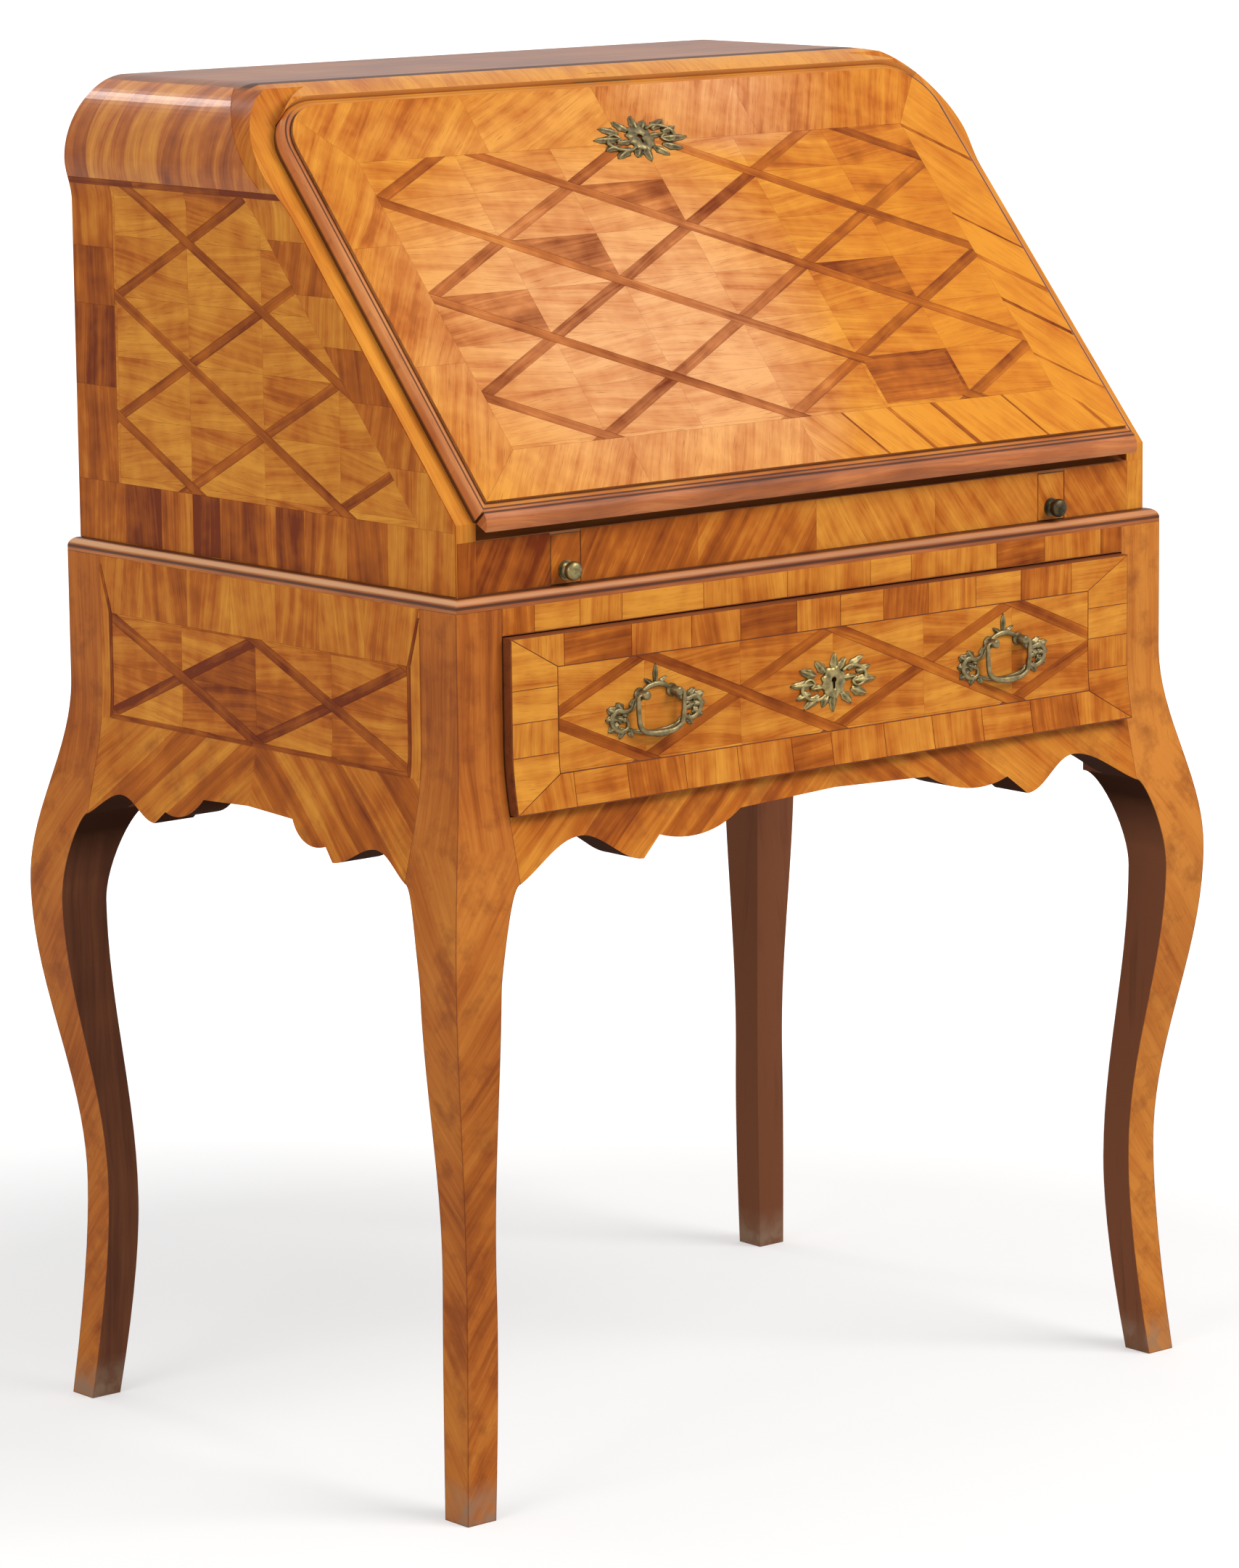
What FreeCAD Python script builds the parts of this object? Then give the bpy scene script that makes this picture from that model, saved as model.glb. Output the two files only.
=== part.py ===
import FreeCAD, Part
import math
import os

# Slant-front writing bureau on four cabriole legs, in millimetres.
# The front faces -Y, +Z is up, the origin is on the floor under the middle.

V = FreeCAD.Vector

# Base carcase
BASE_WIDTH = 710.0
BASE_DEPTH = 476.0
BASE_TOP = 671.0
WAIST_THICK = 10.0
WAIST_BAND = 46.0
WAIST_ROUND = 7.0
STILE = 42.0
PANEL_THICK = 20.0
BACK_THICK = 12.0

# Cabriole leg, reach is measured outward from the face of the base
SWELL_TOP = 572.0
KNEE_HEIGHT = 411.0
KNEE_REACH = 25.6
KNEE_THICK = 42.0
KNEE_INNER_HEIGHT = 396.0
ANKLE_HEIGHT = 172.0
ANKLE_REACH = -1.8
ANKLE_THICK = 28.2
ANKLE_INNER_HEIGHT = 158.0
FOOT_REACH = 9.5
FOOT_SIZE = 26.5
ARCH_JOINT_DROP = 47.4
EASE_SHARE = 0.36

# Scalloped lower edge of the front apron and of the sides, as drops below the top of the apron
APRON_TOP = 519.4
APRON_CENTRE_DROP = 15.9
APRON_CROWN_DROP = 20.4
APRON_TIP_DROP = 43.9
APRON_NOTCH_DROP = 28.9
APRON_LOBE_DROP = 33.4
APRON_END_DROP = 19.4
APRON_SHARES = dict(crown=0.80, tip=0.624, notch=0.565, lobe=0.45, end=0.305)
SIDE_CENTRE_DROP = 16.9
SIDE_CROWN_DROP = 28.4
SIDE_TIP_DROP = 43.9
SIDE_NOTCH_DROP = 33.9
SIDE_LOBE_DROP = 35.4
SIDE_END_DROP = 19.4
SIDE_SHARES = dict(crown=0.80, tip=0.561, notch=0.505, lobe=0.41, end=0.28)
BACK_DROP = 19.4

# Main drawer
DRAWER_TOP = 650.6
DRAWER_GAP = 1.2
DRAWER_PROUD = 8.0
DRAWER_BOARD = 13.0
DRAWER_BOTTOM = 7.0
DRAWER_LIFT = 6.0
DRAWER_SIDE_HEIGHT = 106.0
DRAWER_REAR_SPACE = 14.0
RUNNER_HEIGHT = 14.0
RUNNER_WIDTH = 34.0
KICKER_HEIGHT = 12.0
SLIDE_GAP = 0.4

# Desk case on the base
CASE_SIDE_SETBACK = 9.0
CASE_FRONT_SETBACK = 9.6
CASE_BACK_SETBACK = 5.0
CASE_BOARD = 18.0
FRIEZE_HEIGHT = 52.0
FRIEZE_THICK = 20.0
BED_THICK = 14.0
SLOPE_REACH = 265.4
CASE_HEIGHT = 1033.0
SHOULDER_DROP = 93.0
SHOULDER_BULGE = 6.0
SHOULDER_WIDEST_DROP = 61.0
SHOULDER_ROUND = 58.0
TOP_THICK = 22.0
NOSE_ROUND = 58.0
SPANDREL_GAP = 6.0
SPANDREL_REACH = 100.0
SPANDREL_RISE = 44.0
SPANDREL_SHARES = dict(up=0.75, over=0.6)

# Fall flap, measured up the slope and out from it
FLAP_SIDE_MARGIN = 16.0
FLAP_HEADROOM = 24.0
FLAP_THICK = 14.6
FLAP_CORNER = 46.0
FLAP_GAP = 0.5
POCKET_GAP = 0.8
POCKET_DEPTH = 36.0
LIP_WIDTH = 8.0
LIP_HEIGHT = 12.2
LIP_ROUND = 4.0
NOSING_TURN = 69.0
LINING_THICK = 1.4
LINING_MARGIN = 46.0
LINING_GAP = 0.1

# Flap hinges
HINGE_PLACE_SHARE = 0.2775
HINGE_LENGTH = 60.0
HINGE_LEAF = 2.0
HINGE_LEAF_WIDTH = 19.0
KNUCKLE_RADIUS = 3.5
PIN_RADIUS = 1.5
PIN_GAP = 0.05
HINGE_GAP = 0.4

# Lopers that carry the open flap
LOPER_PLACE_SHARE = 0.354
LOPER_WIDTH = 28.0
LOPER_LENGTH = 330.0
LOPER_GAP = 0.4
GUIDE_WIDTH = 12.0
KNOB_RADIUS = 7.2
KNOB_LENGTH = 13.5
KNOB_NECK_RADIUS = 3.2
KNOB_HEIGHT_SHARE = 0.27
ROSETTE_THICK = 1.6

# Cabinet inside the desk
CABINET_FRONT = 40.0
CABINET_BOARD = 8.0
DIVIDER_THICK = 6.0
CENTRE_HALF_SHARE = 0.1705
SMALL_DRAWER_SHARE = 0.22
SMALL_GAP = 0.8
SMALL_FRONT_THICK = 10.0
SMALL_BOARD = 6.0
SMALL_BOTTOM = 4.0
SMALL_REAR_SPACE = 6.0
SMALL_SIDE_DROP = 5.0
SMALL_KNOB_RADIUS = 5.2
SMALL_KNOB_LENGTH = 12.0
PIGEONHOLE_SHARES = (-0.6, -0.2, 0.2, 0.6)

# Locks and brass mounts
LOCK_WIDTH = 56.0
LOCK_HEIGHT = 38.0
LOCK_DEPTH = 10.0
LOCK_GAP = 0.3
BOLT_WIDTH = 18.0
BOLT_THICK = 6.0
BOLT_LENGTH = 27.0
BOLT_INSET = 2.4
STRIKE_DEPTH = 10.0
ESCUTCHEON_WIDTH = 92.0
ESCUTCHEON_HEIGHT = 48.0
MOUNT_THICK = 2.0
KEYHOLE_DEPTH = 58.0
DRAWER_KEYHOLE = 586.0
KEYHOLE_RADIUS = 2.6
KEYHOLE_SLOT = 2.4
KEYHOLE_DROP = 8.0
HANDLE_PLACE_SHARE = 0.248
HANDLE_HEIGHT = 596.0
HANDLE_WIDTH = 90.0
ESCUTCHEON_LOBES = 6
ESCUTCHEON_DEPTH_SHARE = 0.42
HANDLE_LOBES = 8
HANDLE_DEPTH_SHARE = 0.34
HANDLE_PLATE_HEIGHT = 40.0
POST_SPREAD = 15.5
POST_RADIUS = 3.6
POST_LENGTH = 9.0
POST_AXIS = 5.6
BAIL_RADIUS = 2.2
BAIL_PIN_RADIUS = 1.5
BAIL_DROP = 30.0
BAIL_GAP = 0.6
BAIL_CORNER = 14.0
OVERRUN = 5.0

# Worked out from the sizes above
HALF_W = BASE_WIDTH / 2
HALF_D = BASE_DEPTH / 2
OPEN_X = HALF_W - STILE
OPEN_Y = HALF_D - STILE
WAIST_TOP = BASE_TOP + WAIST_THICK
CASE_WIDTH = BASE_WIDTH - 2 * CASE_SIDE_SETBACK
CASE_FRONT = HALF_D - CASE_FRONT_SETBACK
CASE_BACK = HALF_D - CASE_BACK_SETBACK
CASE_X = CASE_WIDTH / 2
INNER_X = CASE_X - CASE_BOARD
HINGE_Z = WAIST_TOP + FRIEZE_HEIGHT
HINGE_Y = -CASE_FRONT
SLOPE = math.degrees(math.atan2(CASE_HEIGHT - HINGE_Z, SLOPE_REACH))
RISE = math.sin(math.radians(SLOPE))
RUN = math.cos(math.radians(SLOPE))
SHOULDER_LOW = CASE_HEIGHT - SHOULDER_DROP
SHOULDER_WIDEST = CASE_HEIGHT - SHOULDER_WIDEST_DROP
ARCH_JOINT = APRON_TOP - ARCH_JOINT_DROP
FLAP_X = CASE_X - FLAP_SIDE_MARGIN
FLAP_LENGTH = (CASE_HEIGHT - HINGE_Z) / RISE - FLAP_HEADROOM
FLAP_KEYHOLE = FLAP_LENGTH - KEYHOLE_DEPTH
POCKET_LOW = FLAP_LENGTH - POCKET_DEPTH
NOSING_X = INNER_X - FLAP_GAP
HINGE_PLACE = CASE_WIDTH * HINGE_PLACE_SHARE
LOPER_PLACE = CASE_WIDTH * LOPER_PLACE_SHARE
HANDLE_PLACE = BASE_WIDTH * HANDLE_PLACE_SHARE
CENTRE_HALF = CASE_WIDTH * CENTRE_HALF_SHARE
CEILING = CASE_HEIGHT - TOP_THICK
SMALL_DRAWER_HEIGHT = (CEILING - HINGE_Z) * SMALL_DRAWER_SHARE
INNER_BACK = CASE_BACK - BACK_THICK
BED_LOW = HINGE_Z - BED_THICK
LOPER_TOP = HINGE_Z - FLAP_THICK - LOPER_GAP
LOPER_LOW = WAIST_TOP + LOPER_GAP
SHELF_LOW = HINGE_Z + 2 * SMALL_DRAWER_HEIGHT + CABINET_BOARD
SHELF_TOP = SHELF_LOW + CABINET_BOARD
DRAWER_LOW = APRON_TOP + DRAWER_GAP
DRAWER_FRONT_TOP = DRAWER_TOP - DRAWER_GAP
DRAWER_INNER = -HALF_D + PANEL_THICK
DRAWER_X = OPEN_X - DRAWER_GAP


def block(x0, x1, y0, y1, z0, z1):
    return Part.makeBox(x1 - x0, y1 - y0, z1 - z0, V(x0, y0, z0))


def line(a, b):
    return Part.makeLine(a, b)


def curve(*poles):
    bezier = Part.BezierCurve()
    bezier.setPoles(list(poles))
    return bezier.toShape()


def arc(a, b, c):
    return Part.Arc(a, b, c).toShape()


def face_of(edges):
    return Part.Face(Part.Wire(Part.__sortEdges__(edges)))


def polygon(points):
    return Part.Face(Part.makePolygon(list(points) + [points[0]]))


def mirrored_x(shape):
    return shape.mirror(V(0, 0, 0), V(1, 0, 0))


def mirrored_y(shape):
    return shape.mirror(V(0, 0, 0), V(0, 1, 0))


def on_slope(shape):
    # Laid flat, +Y runs up the slope and +Z points out of it, from the hinge line
    placed = shape.copy()
    placed.rotate(V(0, 0, 0), V(1, 0, 0), SLOPE)
    placed.translate(V(0, HINGE_Y, HINGE_Z))
    return placed


def slope_point(along, out):
    return V(0, HINGE_Y + along * RUN - out * RISE, HINGE_Z + along * RISE + out * RUN)


def upright_curve(a, b):
    # An S from a to b in the XZ plane that leaves and arrives upright
    pull = V(0, 0, (a.z - b.z) * EASE_SHARE)
    return curve(a, a - pull, b + pull, b)


def outer_edges(proud):
    # The outer face of the base: straight, then swelling out to the knee
    top = V(proud, 0, BASE_TOP)
    start = V(proud, 0, SWELL_TOP)
    knee = V(KNEE_REACH + proud, 0, KNEE_HEIGHT)
    return [line(top, start), upright_curve(start, knee)]


def leg_profile():
    knee = V(KNEE_REACH, 0, KNEE_HEIGHT)
    ankle = V(ANKLE_REACH, 0, ANKLE_HEIGHT)
    foot = V(FOOT_REACH, 0, 0)
    heel = V(FOOT_REACH - FOOT_SIZE, 0, 0)
    inner_ankle = V(ANKLE_REACH - ANKLE_THICK, 0, ANKLE_INNER_HEIGHT)
    inner_knee = V(KNEE_REACH - KNEE_THICK, 0, KNEE_INNER_HEIGHT)
    joint = V(-STILE, 0, ARCH_JOINT)
    drop = V(0, 0, ANKLE_HEIGHT * EASE_SHARE)
    inner_drop = V(0, 0, ANKLE_INNER_HEIGHT * EASE_SHARE)
    arch_pull = V(0, 0, (ARCH_JOINT - KNEE_INNER_HEIGHT) * EASE_SHARE)
    arch_lead = V((STILE - KNEE_THICK + KNEE_REACH) * EASE_SHARE, 0, 0)
    edges = outer_edges(0)
    edges.append(upright_curve(knee, ankle))
    edges.append(curve(ankle, ankle - drop, foot))
    edges.append(line(foot, heel))
    edges.append(curve(heel, inner_ankle - inner_drop, inner_ankle))
    edges.append(upright_curve(inner_knee, inner_ankle))
    edges.append(curve(inner_knee, inner_knee + arch_pull, joint + arch_lead, joint))
    edges.append(line(joint, V(-STILE, 0, BASE_TOP)))
    edges.append(line(V(-STILE, 0, BASE_TOP), V(0, 0, BASE_TOP)))
    return face_of(edges)


def leg():
    # Sawn from square stock along the same template on two faces
    reach = STILE + KNEE_REACH + 2 * OVERRUN
    across = leg_profile()
    across.translate(V(HALF_W, HALF_D - STILE - OVERRUN, 0))
    along = leg_profile()
    along.rotate(V(0, 0, 0), V(0, 0, 1), 90)
    along.translate(V(HALF_W - STILE - OVERRUN, HALF_D, 0))
    return across.extrude(V(0, reach, 0)).common(along.extrude(V(reach, 0, 0)))


def scallop(span, top, drops, shares):
    # Lower edge from leg to leg: arch, pendant, notch and lobe, mirrored about the middle
    def at(name):
        return V(span * shares[name], 0, APRON_TOP - drops[name])
    corner = V(span, 0, ARCH_JOINT)
    crown = at("crown")
    tip = at("tip")
    notch = at("notch")
    end = at("end")
    centre = V(0, 0, APRON_TOP - drops["centre"])
    rise = V(0, 0, (crown.z - ARCH_JOINT) * EASE_SHARE)
    slide = V((span - crown.x) * EASE_SHARE, 0, 0)
    sweep = V((crown.x - tip.x) * EASE_SHARE, 0, 0)
    half = [curve(corner, corner - slide + rise, crown + slide, crown)]
    half.append(curve(crown, crown - sweep, tip + sweep, tip))
    half.append(line(tip, notch))
    half.append(arc(notch, at("lobe"), end))
    half.append(line(end, centre))
    edges = half + [mirrored_x(edge) for edge in half]
    upper = V(span, 0, top)
    other = V(-span, 0, top)
    edges.append(line(corner, upper))
    edges.append(line(upper, other))
    edges.append(line(other, V(-span, 0, ARCH_JOINT)))
    return face_of(edges)


def swell_face(inner, proud):
    # Cross-section of a board whose outer face follows the swell of the base
    top = V(-inner, 0, BASE_TOP)
    low = V(-inner, 0, KNEE_HEIGHT)
    knee = V(KNEE_REACH + proud, 0, KNEE_HEIGHT)
    edges = outer_edges(proud)
    edges.append(line(knee, low))
    edges.append(line(low, top))
    edges.append(line(top, V(proud, 0, BASE_TOP)))
    return face_of(edges)


def front_board(inner, proud, half):
    section = swell_face(inner, proud)
    section.rotate(V(0, 0, 0), V(0, 0, 1), -90)
    section.translate(V(-half, -HALF_D, 0))
    return section.extrude(V(2 * half, 0, 0))


def side_panel():
    drops = dict(crown=SIDE_CROWN_DROP, tip=SIDE_TIP_DROP, notch=SIDE_NOTCH_DROP, lobe=SIDE_LOBE_DROP,
                 end=SIDE_END_DROP, centre=SIDE_CENTRE_DROP)
    section = swell_face(PANEL_THICK, 0)
    section.translate(V(HALF_W, -OPEN_Y, 0))
    board = section.extrude(V(0, 2 * OPEN_Y, 0))
    outline = scallop(OPEN_Y, BASE_TOP, drops, SIDE_SHARES)
    outline.rotate(V(0, 0, 0), V(0, 0, 1), 90)
    outline.translate(V(HALF_W - PANEL_THICK - OVERRUN, 0, 0))
    return board.common(outline.extrude(V(PANEL_THICK + KNEE_REACH + 2 * OVERRUN, 0, 0)))


def front_apron():
    drops = dict(crown=APRON_CROWN_DROP, tip=APRON_TIP_DROP, notch=APRON_NOTCH_DROP, lobe=APRON_LOBE_DROP,
                 end=APRON_END_DROP, centre=APRON_CENTRE_DROP)
    board = front_board(PANEL_THICK, 0, OPEN_X)
    outline = scallop(OPEN_X, APRON_TOP, drops, APRON_SHARES)
    outline.translate(V(0, -HALF_D - KNEE_REACH - OVERRUN, 0))
    return board.common(outline.extrude(V(0, PANEL_THICK + KNEE_REACH + 2 * OVERRUN, 0)))


def drawer_rail():
    rail = block(-OPEN_X, OPEN_X, -HALF_D, DRAWER_INNER, DRAWER_TOP, BASE_TOP)
    return rail.cut(drawer_bolt_space(DRAWER_TOP - OVERRUN, DRAWER_TOP + STRIKE_DEPTH))


def base_back():
    return block(-OPEN_X, OPEN_X, HALF_D - BACK_THICK, HALF_D, APRON_TOP - BACK_DROP, BASE_TOP)


def waist_moulding():
    frame = block(-HALF_W, HALF_W, -HALF_D, HALF_D, BASE_TOP, WAIST_TOP)
    rims = [edge for edge in frame.Edges if min(v.Z for v in edge.Vertexes) > BASE_TOP]
    frame = frame.makeFillet(WAIST_ROUND, rims)
    return frame.cut(dust_board())


def dust_board():
    return block(-HALF_W + WAIST_BAND, HALF_W - WAIST_BAND, -HALF_D + WAIST_BAND,
                 HALF_D - WAIST_BAND, BASE_TOP, WAIST_TOP)


def drawer_runners():
    inner = HALF_W - PANEL_THICK
    runner = block(inner - RUNNER_WIDTH, inner, DRAWER_INNER, OPEN_Y,
                   DRAWER_LOW + DRAWER_LIFT - RUNNER_HEIGHT - SLIDE_GAP,
                   DRAWER_LOW + DRAWER_LIFT - SLIDE_GAP)
    runner = runner.cut(block(OPEN_X, inner, DRAWER_INNER, -OPEN_Y, 0, BASE_TOP))
    return Part.makeCompound([mirrored_x(runner), runner])


def drawer_guides():
    low = DRAWER_LOW + DRAWER_LIFT - SLIDE_GAP
    guide = block(OPEN_X, HALF_W - PANEL_THICK, -OPEN_Y, OPEN_Y, low, BASE_TOP)
    return Part.makeCompound([mirrored_x(guide), guide])


def drawer_kickers():
    top = DRAWER_LOW + DRAWER_LIFT + DRAWER_SIDE_HEIGHT + SLIDE_GAP
    kicker = block(OPEN_X - RUNNER_WIDTH, OPEN_X, DRAWER_INNER, OPEN_Y, top, top + KICKER_HEIGHT)
    return Part.makeCompound([mirrored_x(kicker), kicker])


def case_side():
    shoulder_y = HINGE_Y + (SHOULDER_LOW - HINGE_Z) * RUN / RISE
    outline = polygon([V(INNER_X, HINGE_Y, WAIST_TOP), V(INNER_X, HINGE_Y, HINGE_Z),
                       V(INNER_X, shoulder_y, SHOULDER_LOW), V(INNER_X, CASE_BACK, SHOULDER_LOW),
                       V(INNER_X, CASE_BACK, WAIST_TOP)])
    return outline.extrude(V(CASE_BOARD, 0, 0))


def shoulder_edges(inset):
    # Half of the rounded top seen from the front: foot, bulge, round and flat
    foot = V(CASE_X - inset, 0, SHOULDER_LOW)
    wide = V(CASE_X + SHOULDER_BULGE - inset, 0, SHOULDER_WIDEST)
    crown = V(CASE_X + SHOULDER_BULGE - SHOULDER_ROUND, 0, CASE_HEIGHT - inset)
    bend = V(0, 0, (crown.z - wide.z) / 2)
    roll = V((wide.x - crown.x) / 2, 0, 0)
    half = [upright_curve(wide, foot)]
    half.append(curve(wide, wide + bend, crown + roll, crown))
    edges = half + [mirrored_x(edge) for edge in half]
    edges.append(line(crown, mirrored_x(Part.Vertex(crown)).Point))
    edges.append(line(foot, mirrored_x(Part.Vertex(foot)).Point))
    return edges


def spandrel():
    # What is cleared beside the flap's rounded corner, so that the nose dies away into the shoulder
    low = V(FLAP_X - POCKET_GAP, FLAP_LENGTH - FLAP_CORNER, 0)
    high = V(FLAP_X - SPANDREL_REACH, FLAP_LENGTH + SPANDREL_RISE, 0)
    up = V(0, FLAP_CORNER * SPANDREL_SHARES["up"], 0)
    over = V(FLAP_X - FLAP_CORNER * SPANDREL_SHARES["over"], FLAP_LENGTH + SPANDREL_GAP, 0)
    foot = low - V(0, POCKET_DEPTH, 0)
    edges = [curve(low, low + up, over, high), line(high, V(CASE_WIDTH, high.y, 0)),
             line(V(CASE_WIDTH, high.y, 0), V(CASE_WIDTH, foot.y, 0)),
             line(V(CASE_WIDTH, foot.y, 0), foot), line(foot, low)]
    return on_slope(face_of(edges).extrude(V(0, 0, CASE_HEIGHT)))


def case_top():
    # Coopered top: rounded shoulders, a rolled front edge, and a rebate round the flap
    front = face_of(shoulder_edges(0))
    front.translate(V(0, -CASE_FRONT, 0))
    body = front.extrude(V(0, CASE_FRONT + CASE_BACK, 0))
    hollow = face_of(shoulder_edges(TOP_THICK))
    hollow.translate(V(0, -CASE_FRONT - OVERRUN, 0))
    hollow = hollow.extrude(V(0, CASE_FRONT + INNER_BACK + OVERRUN, 0))
    nose = slope_point(FLAP_LENGTH + POCKET_GAP, FLAP_THICK)
    roll = V(0, nose.y + NOSE_ROUND, CASE_HEIGHT)
    middle = V(0, (nose.y + roll.y) / 2, CASE_HEIGHT)
    ledge = slope_point(POCKET_LOW, FLAP_THICK)
    step = slope_point(POCKET_LOW, 0)
    foot = V(0, HINGE_Y + (SHOULDER_LOW - HINGE_Z) * RUN / RISE, SHOULDER_LOW)
    side = [curve(roll, middle, nose), line(nose, ledge), line(ledge, step), line(step, foot),
            line(foot, V(0, CASE_BACK, SHOULDER_LOW)),
            line(V(0, CASE_BACK, SHOULDER_LOW), V(0, CASE_BACK, CASE_HEIGHT)),
            line(V(0, CASE_BACK, CASE_HEIGHT), roll)]
    lengthwise = face_of(side)
    lengthwise.translate(V(-CASE_WIDTH, 0, 0))
    body = body.common(lengthwise.extrude(V(2 * CASE_WIDTH, 0, 0)))
    pocket = on_slope(flap_outline(-POCKET_GAP, -OVERRUN).extrude(V(0, 0, 2 * FLAP_THICK)))
    mouth = on_slope(flap_bolt_space(FLAP_LENGTH, FLAP_LENGTH + STRIKE_DEPTH))
    clear = spandrel()
    return body.cut(hollow).cut(pocket).cut(mouth).cut(clear).cut(mirrored_x(clear))


def case_back():
    return block(-INNER_X, INNER_X, INNER_BACK, CASE_BACK, WAIST_TOP, SHOULDER_LOW)


def frieze_rail():
    # Its top edge is hollowed for the flap's nosing, as in a rule joint
    rail = block(-INNER_X, INNER_X, HINGE_Y, HINGE_Y + FRIEZE_THICK, WAIST_TOP, HINGE_Z)
    rail = rail.cut(rod_x(LIP_HEIGHT + FLAP_GAP, -INNER_X, INNER_X, HINGE_Y, HINGE_Z))
    half = LOPER_WIDTH / 2 + LOPER_GAP
    for side in (-1, 1):
        middle = side * LOPER_PLACE
        rail = rail.cut(block(middle - half, middle + half, HINGE_Y - OVERRUN,
                              HINGE_Y + FRIEZE_THICK + OVERRUN, 0, LOPER_TOP + LOPER_GAP))
        rail = rail.cut(fixed_leaf_space(side * HINGE_PLACE))
    return rail


def writing_bed():
    return block(-INNER_X, INNER_X, HINGE_Y + FRIEZE_THICK, INNER_BACK, BED_LOW, HINGE_Z)


def loper_guides():
    guides = []
    inner = LOPER_WIDTH / 2 + LOPER_GAP
    for side in (-1, 1):
        for start in (-inner - GUIDE_WIDTH, inner):
            low = side * LOPER_PLACE + start
            guides.append(block(low, low + GUIDE_WIDTH, HINGE_Y + FRIEZE_THICK, INNER_BACK,
                                WAIST_TOP, BED_LOW))
    return Part.makeCompound(guides)


def cabinet_shelf():
    return block(-INNER_X, INNER_X, CABINET_FRONT, INNER_BACK, SHELF_LOW, SHELF_TOP)


def cabinet_uprights():
    upright = block(CENTRE_HALF, CENTRE_HALF + CABINET_BOARD, CABINET_FRONT, INNER_BACK,
                    HINGE_Z, SHELF_LOW)
    return Part.makeCompound([mirrored_x(upright), upright])


def drawer_dividers():
    low = HINGE_Z + SMALL_DRAWER_HEIGHT
    board = block(CENTRE_HALF + CABINET_BOARD, INNER_X, CABINET_FRONT, INNER_BACK,
                  low, low + CABINET_BOARD)
    return Part.makeCompound([mirrored_x(board), board])


def pigeonhole_dividers():
    boards = []
    for share in PIGEONHOLE_SHARES:
        middle = share * INNER_X
        boards.append(block(middle - DIVIDER_THICK / 2, middle + DIVIDER_THICK / 2,
                            CABINET_FRONT, INNER_BACK, SHELF_TOP, CEILING))
    return Part.makeCompound(boards)


def flap_outline(inset, low):
    # Flat outline with its two upper corners rounded
    half = FLAP_X - inset
    top = FLAP_LENGTH - inset
    radius = FLAP_CORNER - inset
    diagonal = radius * (1 - math.sqrt(2) / 2)
    edges = [line(V(-half, low, 0), V(half, low, 0))]
    edges.append(line(V(half, low, 0), V(half, top - radius, 0)))
    edges.append(arc(V(half, top - radius, 0), V(half - diagonal, top - diagonal, 0),
                     V(half - radius, top, 0)))
    edges.append(line(V(half - radius, top, 0), V(-half + radius, top, 0)))
    edges.append(arc(V(-half + radius, top, 0), V(-half + diagonal, top - diagonal, 0),
                     V(-half, top - radius, 0)))
    edges.append(line(V(-half, top - radius, 0), V(-half, low, 0)))
    return face_of(edges)


def flap_cuts(board):
    # Everything let into the flap from its inner face and its upper edge
    board = board.cut(lining_block(0))
    board = board.cut(flap_lock_block(LOCK_GAP))
    board = board.cut(flap_bolt_space(FLAP_LENGTH - LOCK_HEIGHT, FLAP_LENGTH + OVERRUN))
    for side in (-1, 1):
        board = board.cut(flap_leaf_space(side * HINGE_PLACE))
    return board


def flap_panel():
    board = flap_outline(LIP_WIDTH, LIP_WIDTH).extrude(V(0, 0, FLAP_THICK))
    return on_slope(flap_cuts(board).cut(keyhole(FLAP_KEYHOLE, 0, FLAP_THICK + OVERRUN)))


def nosing():
    # Quarter-round along the lower edge that turns in the hollow of the frieze
    fill = block(-NOSING_X, NOSING_X, 0, LIP_WIDTH, 0, LIP_HEIGHT)
    roll = Part.makeCylinder(LIP_HEIGHT, 2 * NOSING_X, V(-NOSING_X, 0, 0), V(1, 0, 0), NOSING_TURN)
    return fill.fuse(roll)


def flap_lip():
    # Moulding planted round the edge of the flap, its outer edge rounded
    outer = flap_outline(0, FLAP_GAP).extrude(V(0, 0, LIP_HEIGHT))
    rims = [edge for edge in outer.Edges
            if min(v.Z for v in edge.Vertexes) > 0 and max(v.Y for v in edge.Vertexes) > LIP_WIDTH]
    outer = outer.makeFillet(LIP_ROUND, rims).fuse(nosing())
    lip = outer.cut(flap_outline(LIP_WIDTH, LIP_WIDTH).extrude(V(0, 0, FLAP_THICK)))
    for side in (-1, 1):
        lip = lip.cut(hinge_clearance(side * HINGE_PLACE))
    return on_slope(flap_cuts(lip))


def lining_block(shrink):
    half = FLAP_X - LINING_MARGIN - shrink
    return block(-half, half, LINING_MARGIN + shrink, FLAP_LENGTH - LINING_MARGIN - shrink,
                 0, LINING_THICK)


def flap_lining():
    return on_slope(lining_block(LINING_GAP))


def flap_lock_block(grow):
    half = LOCK_WIDTH / 2 + grow
    return block(-half, half, FLAP_LENGTH - LOCK_HEIGHT - grow, FLAP_LENGTH, 0, LOCK_DEPTH + grow)


def flap_bolt_space(low, high):
    half = BOLT_WIDTH / 2 + LOCK_GAP
    return block(-half, half, low, high, BOLT_INSET - LOCK_GAP, BOLT_INSET + BOLT_THICK + LOCK_GAP)


def flap_lock():
    case = flap_lock_block(0)
    case = case.cut(flap_bolt_space(FLAP_LENGTH - BOLT_LENGTH - LOCK_GAP, FLAP_LENGTH + OVERRUN))
    return on_slope(case)


def flap_bolt():
    half = BOLT_WIDTH / 2
    return on_slope(block(-half, half, FLAP_LENGTH - BOLT_LENGTH, FLAP_LENGTH,
                          BOLT_INSET, BOLT_INSET + BOLT_THICK))


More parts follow.
